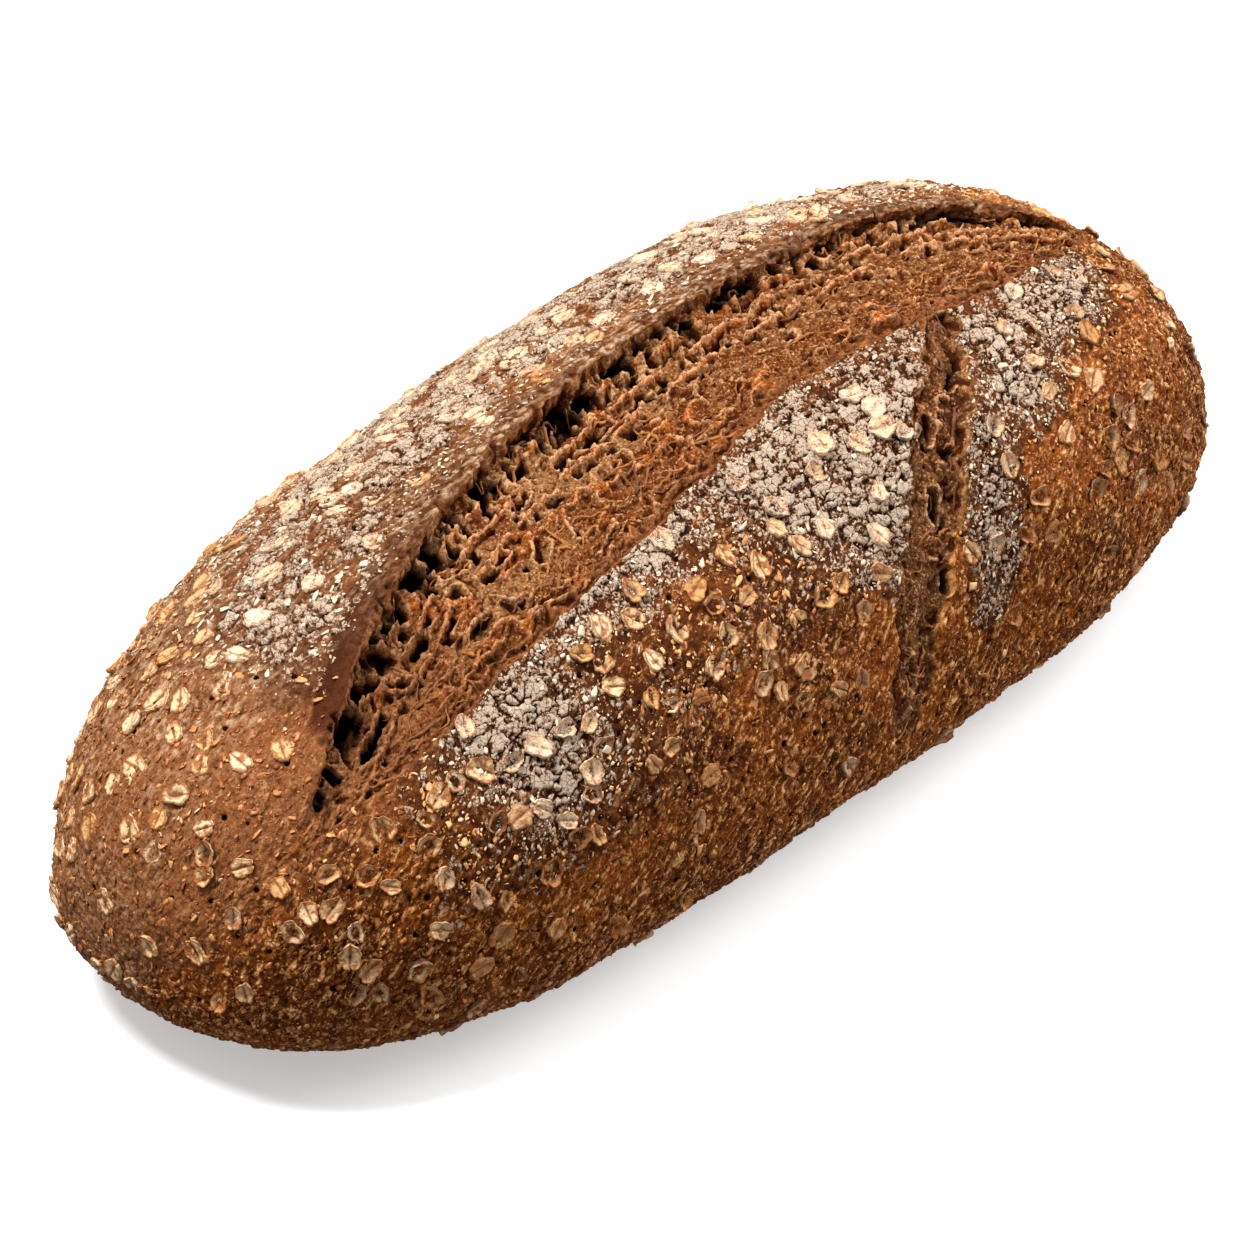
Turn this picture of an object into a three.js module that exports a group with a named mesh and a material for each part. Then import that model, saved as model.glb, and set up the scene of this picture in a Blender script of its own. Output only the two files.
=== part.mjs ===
// Oval hearth-baked rye loaf with one long score along the top and a short side score.
// Units are millimetres. +X runs along the loaf, +Y points to its back, +Z is up.
// The origin is at the middle of the flat base.
import * as THREE from 'three';
import { mergeVertices } from 'three/addons/utils/BufferGeometryUtils.js';

// Overall size
const halfLength = 160;
const halfWidth = 70;
const crownHeight = 87; // top of the crust, before the raised lip
const bellyHeight = 23; // height of the widest line of the sides above the base

// How full the shape is
const lengthExponent = 2.7; // 2 would be an ellipse seen from above
const sectionExponent = 2.3; // 2 would be an ellipse seen from the end
const undersideReach = 1.3; // depth of the full underside, as a share of the belly's height
const widthTaper = 0.04; // one end is this much wider than the middle
const sidewaysBend = 5.7; // how far the middle bows toward the back

// The long score, as stations [x along the loaf, angle from the top toward the back in degrees]
const backLip = [
  [-140, -34], [-125, -21], [-100, -8], [-60, 3], [-20, 9.5],
  [20, 11.5], [60, 11], [95, 10], [120, 4], [145, -13],
];
const frontLip = [
  [-140, -36], [-115, -36], [-90, -33], [-60, -30], [-30, -27],
  [0, -23], [30, -18.5], [60, -21], [95, -22.5], [120, -21], [145, -15],
];
const scoreDepth = 9; // under the back lip, where the crust has torn open
const lipRise = 2.6; // how far the back lip stands proud of the crust
const lipRiseSpan = 11; // degrees over which the raised lip falls back to the crust
const lipEdgeTolerance = 0.01; // degrees, so that a point on the lip's edge counts as on the lip

// The side score, which leaves the long one and runs down the front
const sideScoreStart = new THREE.Vector2(66, -30);
const sideScoreEnd = new THREE.Vector2(20, -78);
const sideScoreDepth = 4.5;
const sideScoreHalfWidth = 11;
const mmPerDegree = 1.17; // length of one degree of angle on the crust

// Mesh
const segmentsAround = 80;
const segmentsAlong = 50;
const lipFocus = 0.35; // packs the segments closer together toward the back lip

// Value of a line of stations at x, held constant beyond its ends
function stationValue(stations, x) {
  const last = stations.length - 1;
  if (x <= stations[0][0]) return stations[0][1];
  if (x >= stations[last][0]) return stations[last][1];
  const next = stations.findIndex((station) => station[0] > x);
  const [x0, v0] = stations[next - 1];
  const [x1, v1] = stations[next];
  return THREE.MathUtils.mapLinear(x, x0, x1, v0, v1);
}

// How deep the long score is at a place on the crust. It deepens from the front lip to the back lip.
function longScoreDepth(x, angle) {
  const front = stationValue(frontLip, x);
  const back = stationValue(backLip, x);
  const opening = back - front;
  if (opening < 2 || angle < front || angle > back) return 0;
  const across = (angle - front) / opening;
  const fullness = THREE.MathUtils.smoothstep(opening, 2, 22);
  const backWall = 1 - THREE.MathUtils.smoothstep(across, 0.84, 1);
  return scoreDepth * fullness * across ** 1.3 * backWall;
}

// How far the raised back lip stands out at a place on the crust
function lipHeight(x, angle) {
  const front = stationValue(frontLip, x);
  const back = stationValue(backLip, x);
  if (angle < back - lipEdgeTolerance) return 0;
  const fullness = THREE.MathUtils.smoothstep(back - front, 2, 22);
  return lipRise * fullness * (1 - THREE.MathUtils.smoothstep(angle - back, 0, lipRiseSpan));
}

// How deep the side score is at a place on the crust. It narrows and fades on its way down.
function sideScoreDepthAt(x, angle) {
  const place = new THREE.Vector2(x, angle * mmPerDegree);
  const start = new THREE.Vector2(sideScoreStart.x, sideScoreStart.y * mmPerDegree);
  const end = new THREE.Vector2(sideScoreEnd.x, sideScoreEnd.y * mmPerDegree);
  const run = end.clone().sub(start);
  const along = place.clone().sub(start).dot(run) / run.lengthSq();
  const t = THREE.MathUtils.clamp(along, 0, 1);
  const distance = place.distanceTo(start.clone().addScaledVector(run, t));
  const halfWidthHere = THREE.MathUtils.lerp(sideScoreHalfWidth, 0.5 * sideScoreHalfWidth, t);
  const fade = 1 - 0.7 * t;
  const wall = THREE.MathUtils.smoothstep(distance, 0.3 * halfWidthHere, halfWidthHere);
  return sideScoreDepth * fade * (1 - wall);
}

// Place on the crust at a share of the half length and an angle from the top, in degrees.
// The reach is the size of the cross-section there, as a share of the middle one.
function crustPoint(share, reach, angle) {
  const across = Math.sin(THREE.MathUtils.degToRad(angle));
  const upward = Math.cos(THREE.MathUtils.degToRad(angle));
  const section = Math.abs(across) ** sectionExponent + Math.abs(upward) ** sectionExponent;
  const scale = reach / section ** (1 / sectionExponent);
  const halfHeight = upward > 0 ? crownHeight - bellyHeight : bellyHeight * undersideReach;

  const x = halfLength * share;
  const y = halfWidth * scale * across * (1 + widthTaper * share) + sidewaysBend * (1 - share ** 2);
  const z = bellyHeight + halfHeight * scale * upward;
  const outward = lipHeight(x, angle) - longScoreDepth(x, angle) - sideScoreDepthAt(x, angle);
  return new THREE.Vector3(x, y + outward * across, Math.max(0, z + outward * upward));
}

// Moves a point of a unit sphere, whose poles are at the loaf's two ends, onto the crust.
// Each ring is turned so that one line of the mesh runs along the back lip.
function onCrust(point) {
  const ring = Math.hypot(point.y, point.z);
  const size = (Math.abs(point.x) ** lengthExponent + ring ** lengthExponent) ** (1 / lengthExponent);
  const share = point.x / size;
  const even = Math.atan2(point.y, point.z);
  const gathered = THREE.MathUtils.radToDeg(even - lipFocus * Math.sin(even));
  const turned = gathered + stationValue(backLip, halfLength * share);
  const angle = THREE.MathUtils.euclideanModulo(turned + 180, 360) - 180;
  return crustPoint(share, ring / size, angle);
}

// Closed unit sphere with its poles at the loaf's two ends
function endPoledSphere() {
  const sphere = new THREE.SphereGeometry(1, segmentsAround, segmentsAlong);
  sphere.deleteAttribute('normal');
  sphere.deleteAttribute('uv');
  sphere.rotateZ(-Math.PI / 2);
  return mergeVertices(sphere, 1e-5);
}

// The whole loaf as one closed solid, centred over its base
function loafGeometry() {
  const geometry = endPoledSphere();
  const positions = geometry.attributes.position;
  const point = new THREE.Vector3();
  for (let i = 0; i < positions.count; i += 1) {
    point.fromBufferAttribute(positions, i);
    const { x, y, z } = onCrust(point);
    positions.setXYZ(i, x, y, z);
  }
  geometry.computeBoundingBox();
  const centre = geometry.boundingBox.getCenter(new THREE.Vector3());
  geometry.translate(-centre.x, -centre.y, -geometry.boundingBox.min.z);
  geometry.computeVertexNormals();
  return geometry;
}

const crust = new THREE.MeshStandardMaterial({
  name: 'baked_crust',
  color: '#7a4c2c',
  roughness: 0.85,
  metalness: 0,
});

function ryeLoaf() {
  const loaf = new THREE.Mesh(loafGeometry(), crust);
  loaf.name = 'rye_loaf';
  return loaf;
}

const group = new THREE.Group();
group.name = 'rye_loaf_part';
group.add(ryeLoaf());

export default group;
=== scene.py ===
import math
from concurrent.futures import ThreadPoolExecutor
from types import SimpleNamespace

import bpy
import numpy as np
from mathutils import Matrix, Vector


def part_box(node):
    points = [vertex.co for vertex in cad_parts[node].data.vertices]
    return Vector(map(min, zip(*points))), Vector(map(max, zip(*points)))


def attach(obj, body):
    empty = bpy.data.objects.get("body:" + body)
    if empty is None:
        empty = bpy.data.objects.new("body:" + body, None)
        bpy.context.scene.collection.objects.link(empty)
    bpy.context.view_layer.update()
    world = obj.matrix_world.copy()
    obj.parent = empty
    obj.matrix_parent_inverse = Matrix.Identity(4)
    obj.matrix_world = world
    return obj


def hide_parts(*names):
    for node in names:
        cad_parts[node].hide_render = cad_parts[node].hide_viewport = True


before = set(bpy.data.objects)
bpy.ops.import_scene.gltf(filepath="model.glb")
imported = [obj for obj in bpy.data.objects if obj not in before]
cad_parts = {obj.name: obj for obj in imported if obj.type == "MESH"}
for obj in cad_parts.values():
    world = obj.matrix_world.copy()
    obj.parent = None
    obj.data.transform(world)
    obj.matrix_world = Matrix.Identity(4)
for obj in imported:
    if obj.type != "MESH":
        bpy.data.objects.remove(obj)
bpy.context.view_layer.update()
metre = 0.001  # one millimetre, in Blender's metres

# lots that the noise of every surface below is drawn from
noiseRandom = np.random.default_rng(41)
shuffled = noiseRandom.permutation(256).astype(np.int32)
shuffled = np.concatenate([shuffled, shuffled])
slopes = noiseRandom.normal(size=(256, 3)).astype(np.float32)
slopes /= np.linalg.norm(slopes, axis=1, keepdims=True)
scatter = noiseRandom.random((256, 3)).astype(np.float32)
lots = noiseRandom.random(256).astype(np.float32)


def inParts(work, points, *extra):
    # the same work on a few slices of the points at once, joined again in order
    slices = np.array_split(np.arange(len(points)), 16)
    with ThreadPoolExecutor(4) as pool:
        done = list(pool.map(lambda part: work(points[part], *extra), slices))
    if isinstance(done[0], tuple):
        return tuple(np.concatenate(column) for column in zip(*done))
    return np.concatenate(done)


def lotAt(cx, cy, cz, seed):
    row = shuffled[(cx + seed * 17) & 255]
    return shuffled[shuffled[row + (cy & 255)] + (cz & 255)]


def softNoiseWork(p, seed):
    cell = np.floor(p).astype(np.int32)
    f = (p - cell).astype(np.float32)
    ease = f * f * f * (f * (f * 6 - 15) + 10)
    total = np.zeros(len(p), np.float32)
    for corner in range(8):
        ox, oy, oz = corner & 1, corner >> 1 & 1, corner >> 2
        slope = slopes[lotAt(cell[:, 0] + ox, cell[:, 1] + oy, cell[:, 2] + oz, seed)]
        fall = slope[:, 0] * (f[:, 0] - ox) + slope[:, 1] * (f[:, 1] - oy) + slope[:, 2] * (f[:, 2] - oz)
        share = np.where(ox, ease[:, 0], 1 - ease[:, 0])
        share = share * np.where(oy, ease[:, 1], 1 - ease[:, 1])
        share = share * np.where(oz, ease[:, 2], 1 - ease[:, 2])
        total += share * fall
    return total * 1.6  # about -1 to 1


def softNoise(p, size, seed=0):
    # smooth noise, about -1 to 1, whose bumps are about `size` mm across
    return inParts(softNoiseWork, (p / size).astype(np.float32), seed)


def cellsWork(p, seed):
    cell = np.floor(p).astype(np.int32)
    near = np.full(len(p), 9.0, np.float32)
    second = np.full(len(p), 9.0, np.float32)
    owner = np.zeros(len(p), np.int32)
    for ox in (-1, 0, 1):
        for oy in (-1, 0, 1):
            for oz in (-1, 0, 1):
                cx, cy, cz = cell[:, 0] + ox, cell[:, 1] + oy, cell[:, 2] + oz
                lot = lotAt(cx, cy, cz, seed)
                spot = scatter[lot]
                dx = cx + spot[:, 0] - p[:, 0]
                dy = cy + spot[:, 1] - p[:, 1]
                dz = cz + spot[:, 2] - p[:, 2]
                away = dx * dx + dy * dy + dz * dz
                closer = away < near
                second = np.where(closer, near, np.minimum(second, away))
                near = np.where(closer, away, near)
                owner = np.where(closer, lot, owner)
    return np.sqrt(near), np.sqrt(second), lots[owner]


def cells(p, size, seed=0):
    # cracked-ground pattern with cells about `size` mm across:
    # mm from the cell's middle, mm from its border, and the cell's own lot, 0 to 1
    near, second, lot = inParts(cellsWork, (p / size).astype(np.float32), seed)
    return near * size, (second - near) * size * 0.5, lot


def stretched(p, x=1.0, y=1.0, z=1.0):
    # points to read noise at, so that its bumps are longer where the number is under 1
    return p * np.array([x, y, z], np.float32)


def wander(p, size, reach, seeds):
    # how far noise pushes each point about, so that a pattern read there isn't regular
    return reach * np.stack([softNoise(p, size, seed) for seed in seeds], 1)


def ramp(value, low, high):
    t = np.clip((value - low) / (high - low), 0, 1)
    return t * t * (3 - 2 * t)


def mix(a, b, share):
    return a + (b - a) * share


def bell(value, wide):
    # 1 where the value is 0, falling off smoothly on both sides
    return np.exp(-(value / wide) ** 2)


form = {  # the loaf's plain form, the same as the CAD solid's
    "halfLength": 160.0,
    "halfWidth": 70.0,
    "crownHeight": 87.0,
    "bellyHeight": 23.0,
    "lengthExponent": 2.7,
    "sectionExponent": 2.3,
    "undersideReach": 1.3,
    "widthTaper": 0.04,
    "sidewaysBend": 5.7,
}
mmPerDegree = 1.17  # along the crust, round the loaf

mesh = {"step": 0.38, "lipCrowding": 2.4}  # mm between points, and how much closer they stand at the back lip

score = {
    # the two lips of the opening: mm along, degrees from the top toward the back
    "backLip": [(-140, -34), (-125, -21), (-100, -8), (-60, 3), (-20, 9.5),
                (20, 11.5), (60, 11), (95, 10), (120, 4), (145, -13)],
    "frontLip": [(-140, -36), (-115, -36), (-90, -33), (-60, -30), (-30, -27), (0, -23),
                 (30, -18.5), (60, -21), (95, -22.5), (120, -21), (145, -15)],
    "depth": 5.5,  # mm, of the torn crumb in the middle of the opening
    "lipRise": 2.4, "lipRiseSpan": 11.0,  # mm, degrees
    "skinWide": (5.5, 10.5),  # mm of smooth skin on the back lip, along the loaf and at the near end
    # the crumb just in front of the back lip: mm before the lip on the grid, mm before it in place, mm deep;
    # a hole runs back under the lip, and a web of crumb reaches up to it
    "hole": [(0.0, 1.4, 0.4), (0.7, 0.4, 2.6), (1.4, -1.8, 4.2), (2.2, -4.5, 6.5), (3.0, -4.0, 9.0),
             (4.0, 0.8, 9.5), (5.5, 4.4, 7.6), (8.0, 7.8, 6.0), (12.0, 12.0, 5.5)],
    "web": [(0.0, 1.4, 0.4), (0.7, 1.1, 1.7), (1.4, 1.2, 2.6), (2.2, 1.9, 3.2), (3.0, 2.9, 3.6),
            (4.0, 4.0, 3.9), (5.5, 5.5, 4.4), (8.0, 8.0, 5.0), (12.0, 12.0, 5.5)],
    # thin torn layers standing up in front of the lip: mm before it, mm tall, mm wide, and how open the gap
    # behind each one is, 0 to 1
    "layers": [(4.8, 2.3, 0.6, 0.75), (9.5, 2.2, 0.7, 1.0), (15.5, 1.8, 0.8, 0.6)],
    "gapDepth": 3.4,  # mm
}

sideScore = {
    # middle of the cut: mm along, degrees from the top
    "line": [(75, -16), (72, -23), (63.5, -30.5), (46.5, -43),
             (32.5, -54.5), (21, -67), (15, -78), (9, -92)],
    "halfWidth": [2.0, 3.6, 5.0, 6.8, 7.6, 7.4, 6.2, 3.0],  # mm
    "depth": [0.8, 1.8, 2.7, 3.1, 2.8, 2.2, 1.4, 0.4],  # mm
}

floured = {
    # where flour lies thick, as outlines: mm along, degrees from the top toward the back
    "patches": [
        [(-102, -37), (-86, -32), (-76, -32), (-73, -44), (-81, -60), (-93, -60)],
        [(-68, -31), (-58, -27), (-30, -24), (-16, -25), (-22, -32), (-52, -34)],
        [(-15, -26), (5, -23), (20, -19.5), (45, -20), (65, -23),
         (50, -35), (32, -49), (20, -58), (12, -52), (0, -42)],
        [(72, -21), (90, -24), (122, -25), (118, -33), (92, -37), (76, -46), (66, -40)],
        [(57, -42), (60.5, -46), (51, -60), (44, -72), (41, -73), (47, -60)],
        [(-112, 25), (-90, 32), (-50, 48), (0, 52), (60, 50), (110, 38),
         (128, 20), (95, 17), (0, 19), (-50, 14), (-98, 0), (-114, 4)],
    ],
    "strength": [1.0, 0.85, 1.0, 0.95, 0.5, 0.95],  # of each patch
    "plateSize": 4.0, "crumbSize": 1.3, "plateHeight": 0.28, "crumbHeight": 0.22,  # mm
}


def alongLine(line, x):
    # a line of stations read at x, with its corners eased over about 8 mm
    xs, values = np.array(line, float).T
    fine = np.linspace(-170, 170, 681)
    drawn = np.interp(fine, xs, values)
    spread = np.exp(-0.5 * (np.arange(-40, 41) * 0.5 / 6.0) ** 2)
    eased = np.convolve(np.pad(drawn, 40, mode="edge"), spread / spread.sum(), mode="valid")
    return np.interp(x, fine, eased)


def formPoint(share, reach, angle):
    # share of the half length, size of the cross-section there, angle from the top in radians
    across, upward = np.sin(angle), np.cos(angle)
    n = form["sectionExponent"]
    scale = reach / (np.abs(across) ** n + np.abs(upward) ** n) ** (1 / n)
    top = form["crownHeight"] - form["bellyHeight"]
    below = form["bellyHeight"] * form["undersideReach"]
    x = form["halfLength"] * share + 0 * scale
    y = form["halfWidth"] * scale * across * (1 + form["widthTaper"] * share)
    y = y + form["sidewaysBend"] * (1 - share ** 2)
    z = form["bellyHeight"] + np.where(upward > 0, top, below) * scale * upward
    return np.stack([x, y, np.maximum(z, 0)], -1)


def ringPlaces():
    # shares of the half length, and section sizes, evenly spaced over the crown from end to end
    turn = np.linspace(0, math.pi, 20001)
    m = form["lengthExponent"]
    size = (np.abs(np.cos(turn)) ** m + np.abs(np.sin(turn)) ** m) ** (1 / m)
    share, reach = -np.cos(turn) / size, np.sin(turn) / size
    crown = form["crownHeight"] - form["bellyHeight"]
    run = np.hypot(np.diff(share) * form["halfLength"], np.diff(reach) * crown)
    length = np.concatenate([[0], np.cumsum(run)])
    rings = int(length[-1] / mesh["step"])
    even = np.linspace(0, length[-1], rings + 1)[1:-1]
    return np.interp(even, length, share), np.interp(even, length, reach)


def columnAngles():
    # angles behind the back lip, in degrees, crowded just in front of it where the crevice is
    fine = np.linspace(-180, 180, 7201)
    crowd = 0.75 + 0.45 * np.exp(-0.5 * (fine / 55) ** 2)
    crowd += mesh["lipCrowding"] * np.exp(-0.5 * ((fine + 2.2) / 2.6) ** 2)
    filled = np.concatenate([[0], np.cumsum((crowd[1:] + crowd[:-1]) / 2)])
    filled /= filled[-1]
    columns = int(360 * mmPerDegree / mesh["step"] * 1.15)
    return np.interp(np.arange(columns) / columns, filled, fine)


def insideOutline(x, w, outline):
    # how far inside an outline each place lies, in mm, and negative outside it
    corners = np.array([(cx, angle * mmPerDegree) for cx, angle in outline], np.float32)
    nearest = np.full(len(x), 1e6, np.float32)
    within = np.zeros(len(x), bool)
    for (ax, aw), (bx, bw) in zip(corners, np.roll(corners, -1, 0)):
        ex, ew = bx - ax, bw - aw
        t = np.clip(((x - ax) * ex + (w - aw) * ew) / (ex * ex + ew * ew), 0, 1)
        nearest = np.minimum(nearest, np.hypot(x - ax - t * ex, w - aw - t * ew))
        crosses = (aw > w) != (bw > w)
        within ^= crosses & (x < ax + ex * (w - aw) / (ew if ew else 1e-6))
    return np.where(within, nearest, -nearest)


def sideScorePlace(x, w):
    # for each place: mm to the right of the side score's middle, mm along it, and its half width and depth
    line = np.array([(cx, angle * mmPerDegree) for cx, angle in sideScore["line"]], np.float32)
    best = np.full(len(x), 1e6, np.float32)
    across = np.full(len(x), 1e6, np.float32)
    along = np.zeros(len(x), np.float32)
    half = np.zeros(len(x), np.float32)
    depth = np.zeros(len(x), np.float32)
    walked = 0.0
    for i in range(len(line) - 1):
        (ax, aw), (bx, bw) = line[i], line[i + 1]
        length = math.hypot(bx - ax, bw - aw)
        ux, uw = (bx - ax) / length, (bw - aw) / length
        t = np.clip(((x - ax) * ux + (w - aw) * uw) / length, 0, 1)
        away = np.hypot(x - ax - t * length * ux, w - aw - t * length * uw)
        side = np.sign(-(x - ax) * uw + (w - aw) * ux)
        nearer = away < best
        best = np.where(nearer, away, best)
        across = np.where(nearer, away * side, across)
        along = np.where(nearer, walked + t * length, along)
        half = np.where(nearer, mix(*sideScore["halfWidth"][i:i + 2], t), half)
        depth = np.where(nearer, mix(*sideScore["depth"][i:i + 2], t), depth)
        walked += length
    return across, along, half, depth


def blurGrid(values, shape, rows, columns):
    # average over a window of the loaf's grid of rings and columns
    grid = values.reshape(shape)
    padded = np.pad(grid, ((rows, rows), (0, 0)), mode="edge")
    sums = np.cumsum(np.pad(padded, ((1, 0), (0, 0))), 0)
    grid = (sums[2 * rows + 1:] - sums[:-2 * rows - 1]) / (2 * rows + 1)
    padded = np.pad(grid, ((0, 0), (columns, columns)), mode="wrap")
    sums = np.cumsum(np.pad(padded, ((0, 0), (1, 0))), 1)
    return ((sums[:, 2 * columns + 1:] - sums[:, :-2 * columns - 1]) / (2 * columns + 1)).ravel()


def surfaceFrames(points):
    # outward normals and directions toward the back, for a grid of rings and columns
    along = np.gradient(points, axis=0)
    around = np.roll(points, -1, 1) - np.roll(points, 1, 1)
    normal = np.cross(along, around)
    normal /= np.linalg.norm(normal, axis=2, keepdims=True) + 1e-9
    around /= np.linalg.norm(around, axis=2, keepdims=True) + 1e-9
    return normal, around


crust = {
    # mm across, mm high and noise seed
    "lumps": [(52.0, 1.3, 1), (23.0, 0.75, 2)],
    "swell": (7.0, 0.36, 3), "wrinkle": (2.7, 0.28, 4), "grain": (1.1, 0.24, 5), "flake": (1.9, 0.35, 45),
    "slant": 0.6,  # radians up from the loaf's length that grains lie
    "scaleSize": 1.8, "scaleHeight": 0.95, "scaleGap": 0.12,  # mm, of the curled scales
    "pitSize": 4.2, "pitDepth": 1.3, "pitShare": 0.36,  # mm, mm, share of cells with a burst pit
}


def crustRelief(p, skin, grit):
    # baked crust: soft lumps and fine wrinkles, with grains, curled scales and burst pits where it is gritty
    c, s = math.cos(crust["slant"]), math.sin(crust["slant"])
    flaky = np.stack([(p[:, 0] * c + p[:, 2] * s) * 0.6, p[:, 1], p[:, 2] * c - p[:, 0] * s], 1)
    height = np.zeros(len(p), np.float32)
    for points, (across, tall, seed) in ((p, crust["swell"]), (flaky, crust["wrinkle"]), (p, crust["grain"])):
        height += tall * softNoise(points, across, seed)
    _, border, lot = cells(flaky + wander(p, 2.4, 0.8, (8, 9, 10)), crust["scaleSize"], 6)
    scales = crust["scaleHeight"] * (lot - 0.3) * (lot > 0.3) * ramp(border, 0.0, 0.22)
    height += grit * (scales - crust["scaleGap"] * (1 - ramp(border, 0.0, 0.2)))
    across, tall, seed = crust["flake"]
    height += grit * tall * np.abs(softNoise(flaky, across, seed))
    middle, _, lot = cells(p, crust["pitSize"], 7)
    pit = crust["pitDepth"] * (lot < crust["pitShare"]) * (1 - ramp(middle, 0.3, 0.95))
    return (height - pit) * (1 - 0.3 * skin)


crumb = {
    # mm across, mm high and noise seed of the crests, coarse to fine
    "crests": [(6.2, 1.25, 50), (3.0, 0.5, 51), (1.5, 0.27, 52), (0.8, 0.15, 53)], "crestHeight": 1.35,
    "roughness": [(0.9, 0.34, 15), (6.0, 0.8, 55)],
    "strandSize": 3.0, "strandHeight": 1.1,  # mm, here and below
    "bowlSize": 7.0, "bowlDepth": 2.0, "bowlRim": 1.0,
    "holeSize": 3.4, "holeDepth": 3.2, "poreSize": 1.35, "poreDepth": 0.55,
    "lumpSize": 2.5, "lumpHeight": 1.3,
}


def tornRelief(along, across, share, fine):
    # crumb torn open in the oven: long strands toward the front lip, ragged crests, open bowls, holes, pores.
    # share runs from the front lip to the back lip, and fine is 0 for open crumb, 1 for close crumb
    flat = np.stack([along, across, np.full_like(along, 3.3)], 1).astype(np.float32)
    still = np.zeros_like(along)
    flat = flat + np.stack([softNoise(flat, 11.0, 11), softNoise(flat, 8.0, 12), still], 1) * np.float32(2.6)
    flat = flat + np.stack([softNoise(flat, 3.2, 18), softNoise(flat, 3.0, 19), still], 1) * np.float32(0.9)
    front = 1 - ramp(share, 0.10, 0.42)
    strand = 1 - 2.6 * np.abs(softNoise(stretched(flat, 0.15), crumb["strandSize"], 13))
    strand = np.clip(strand, 0, 1) ** 2
    drawn = stretched(flat, 0.72)
    rugged = 0.12 + 0.88 * ramp(softNoise(stretched(flat, 0.7), 9.0, 54), -0.10, 0.30)
    rugged = np.maximum(rugged, np.maximum(0.4 * front, 0.55 * fine))
    crest = np.zeros_like(along)
    weight = np.ones_like(along)
    for size, tall, seed in crumb["crests"]:
        ridge = (1 - np.abs(softNoise(drawn, size, seed)) * 2.1).clip(0, 1) ** 2
        crest += ridge * weight * tall
        weight = 0.3 + 0.7 * ridge
    middle, _, lot = cells(drawn, crumb["bowlSize"], 14)
    opened = (lot < 0.45) * (1 - 0.8 * fine) * (1 - 0.7 * front)
    bowl = opened * (1 - ramp(middle, 0.8, 3.2))
    bowlRim = opened * bell(middle - 3.1, 0.45)
    middle, _, lot = cells(stretched(flat, 0.8), crumb["holeSize"], 16)
    hole = (lot < 0.17 + 0.18 * ramp(share, 0.4, 0.9)) * (1 - ramp(middle, 0.3, 1.15)) * (1 - 0.5 * front)
    middle, _, lot = cells(flat, crumb["poreSize"], 17)
    pore = (lot < 0.55) * (1 - ramp(middle, 0.08, 0.52))
    middle, border, lot = cells(flat, crumb["lumpSize"], 56)
    lump = fine * (1 - front) * lot * (1 - ramp(middle, 0.3, 1.5)) * ramp(border, 0.0, 0.25)
    height = crumb["crestHeight"] * (crest * rugged - 0.5)
    height += crumb["strandHeight"] * strand * (0.15 + 0.85 * front)
    height += crumb["bowlRim"] * bowlRim - crumb["bowlDepth"] * bowl
    height += crumb["lumpHeight"] * lump - crumb["holeDepth"] * hole - crumb["poreDepth"] * pore
    for size, tall, seed in crumb["roughness"]:
        height += tall * softNoise(flat, size, seed)
    toast = 0.8 * (crest * rugged - 0.55) + 0.7 * strand * (0.2 + 0.8 * front) + 0.6 * bowlRim + 0.5 * lump
    pocket = np.clip(bowl + 1 - rugged, 0, 1) * (1 - front) * (1 - 0.6 * fine)
    return height, np.clip(toast, 0, 1), pocket, hole


def onRings(grid, values):
    # one value for each ring, repeated for its columns
    return np.repeat(values, grid.shape[1]).astype(np.float32)


def plainLoaf():
    # the loaf's plain form as a grid of rings and columns, with what is known of every point of it
    share, reach = ringPlaces()
    grid = SimpleNamespace(behindLip=columnAngles())
    grid.shape = (len(share), len(grid.behindLip))
    grid.ringX = form["halfLength"] * share
    grid.ringLip = alongLine(score["backLip"], grid.ringX)
    ringOpening = np.maximum(grid.ringLip - alongLine(score["frontLip"], grid.ringX), 0.05)
    angle = (grid.ringLip[:, None] + grid.behindLip[None, :] + 180) % 360 - 180
    points = formPoint(share[:, None], reach[:, None], np.radians(angle)).astype(np.float32)
    grid.normal, grid.around = (a.reshape(-1, 3).astype(np.float32) for a in surfaceFrames(points))
    grid.plain = points.reshape(-1, 3)
    grid.x = onRings(grid, grid.ringX)  # mm along
    grid.opening = onRings(grid, ringOpening)  # degrees between the lips
    grid.angle = angle.ravel().astype(np.float32)  # degrees from the top
    grid.behind = np.tile(grid.behindLip, grid.shape[0]).astype(np.float32)  # degrees behind the back lip
    print("loaf grid", grid.shape)
    return grid


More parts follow.
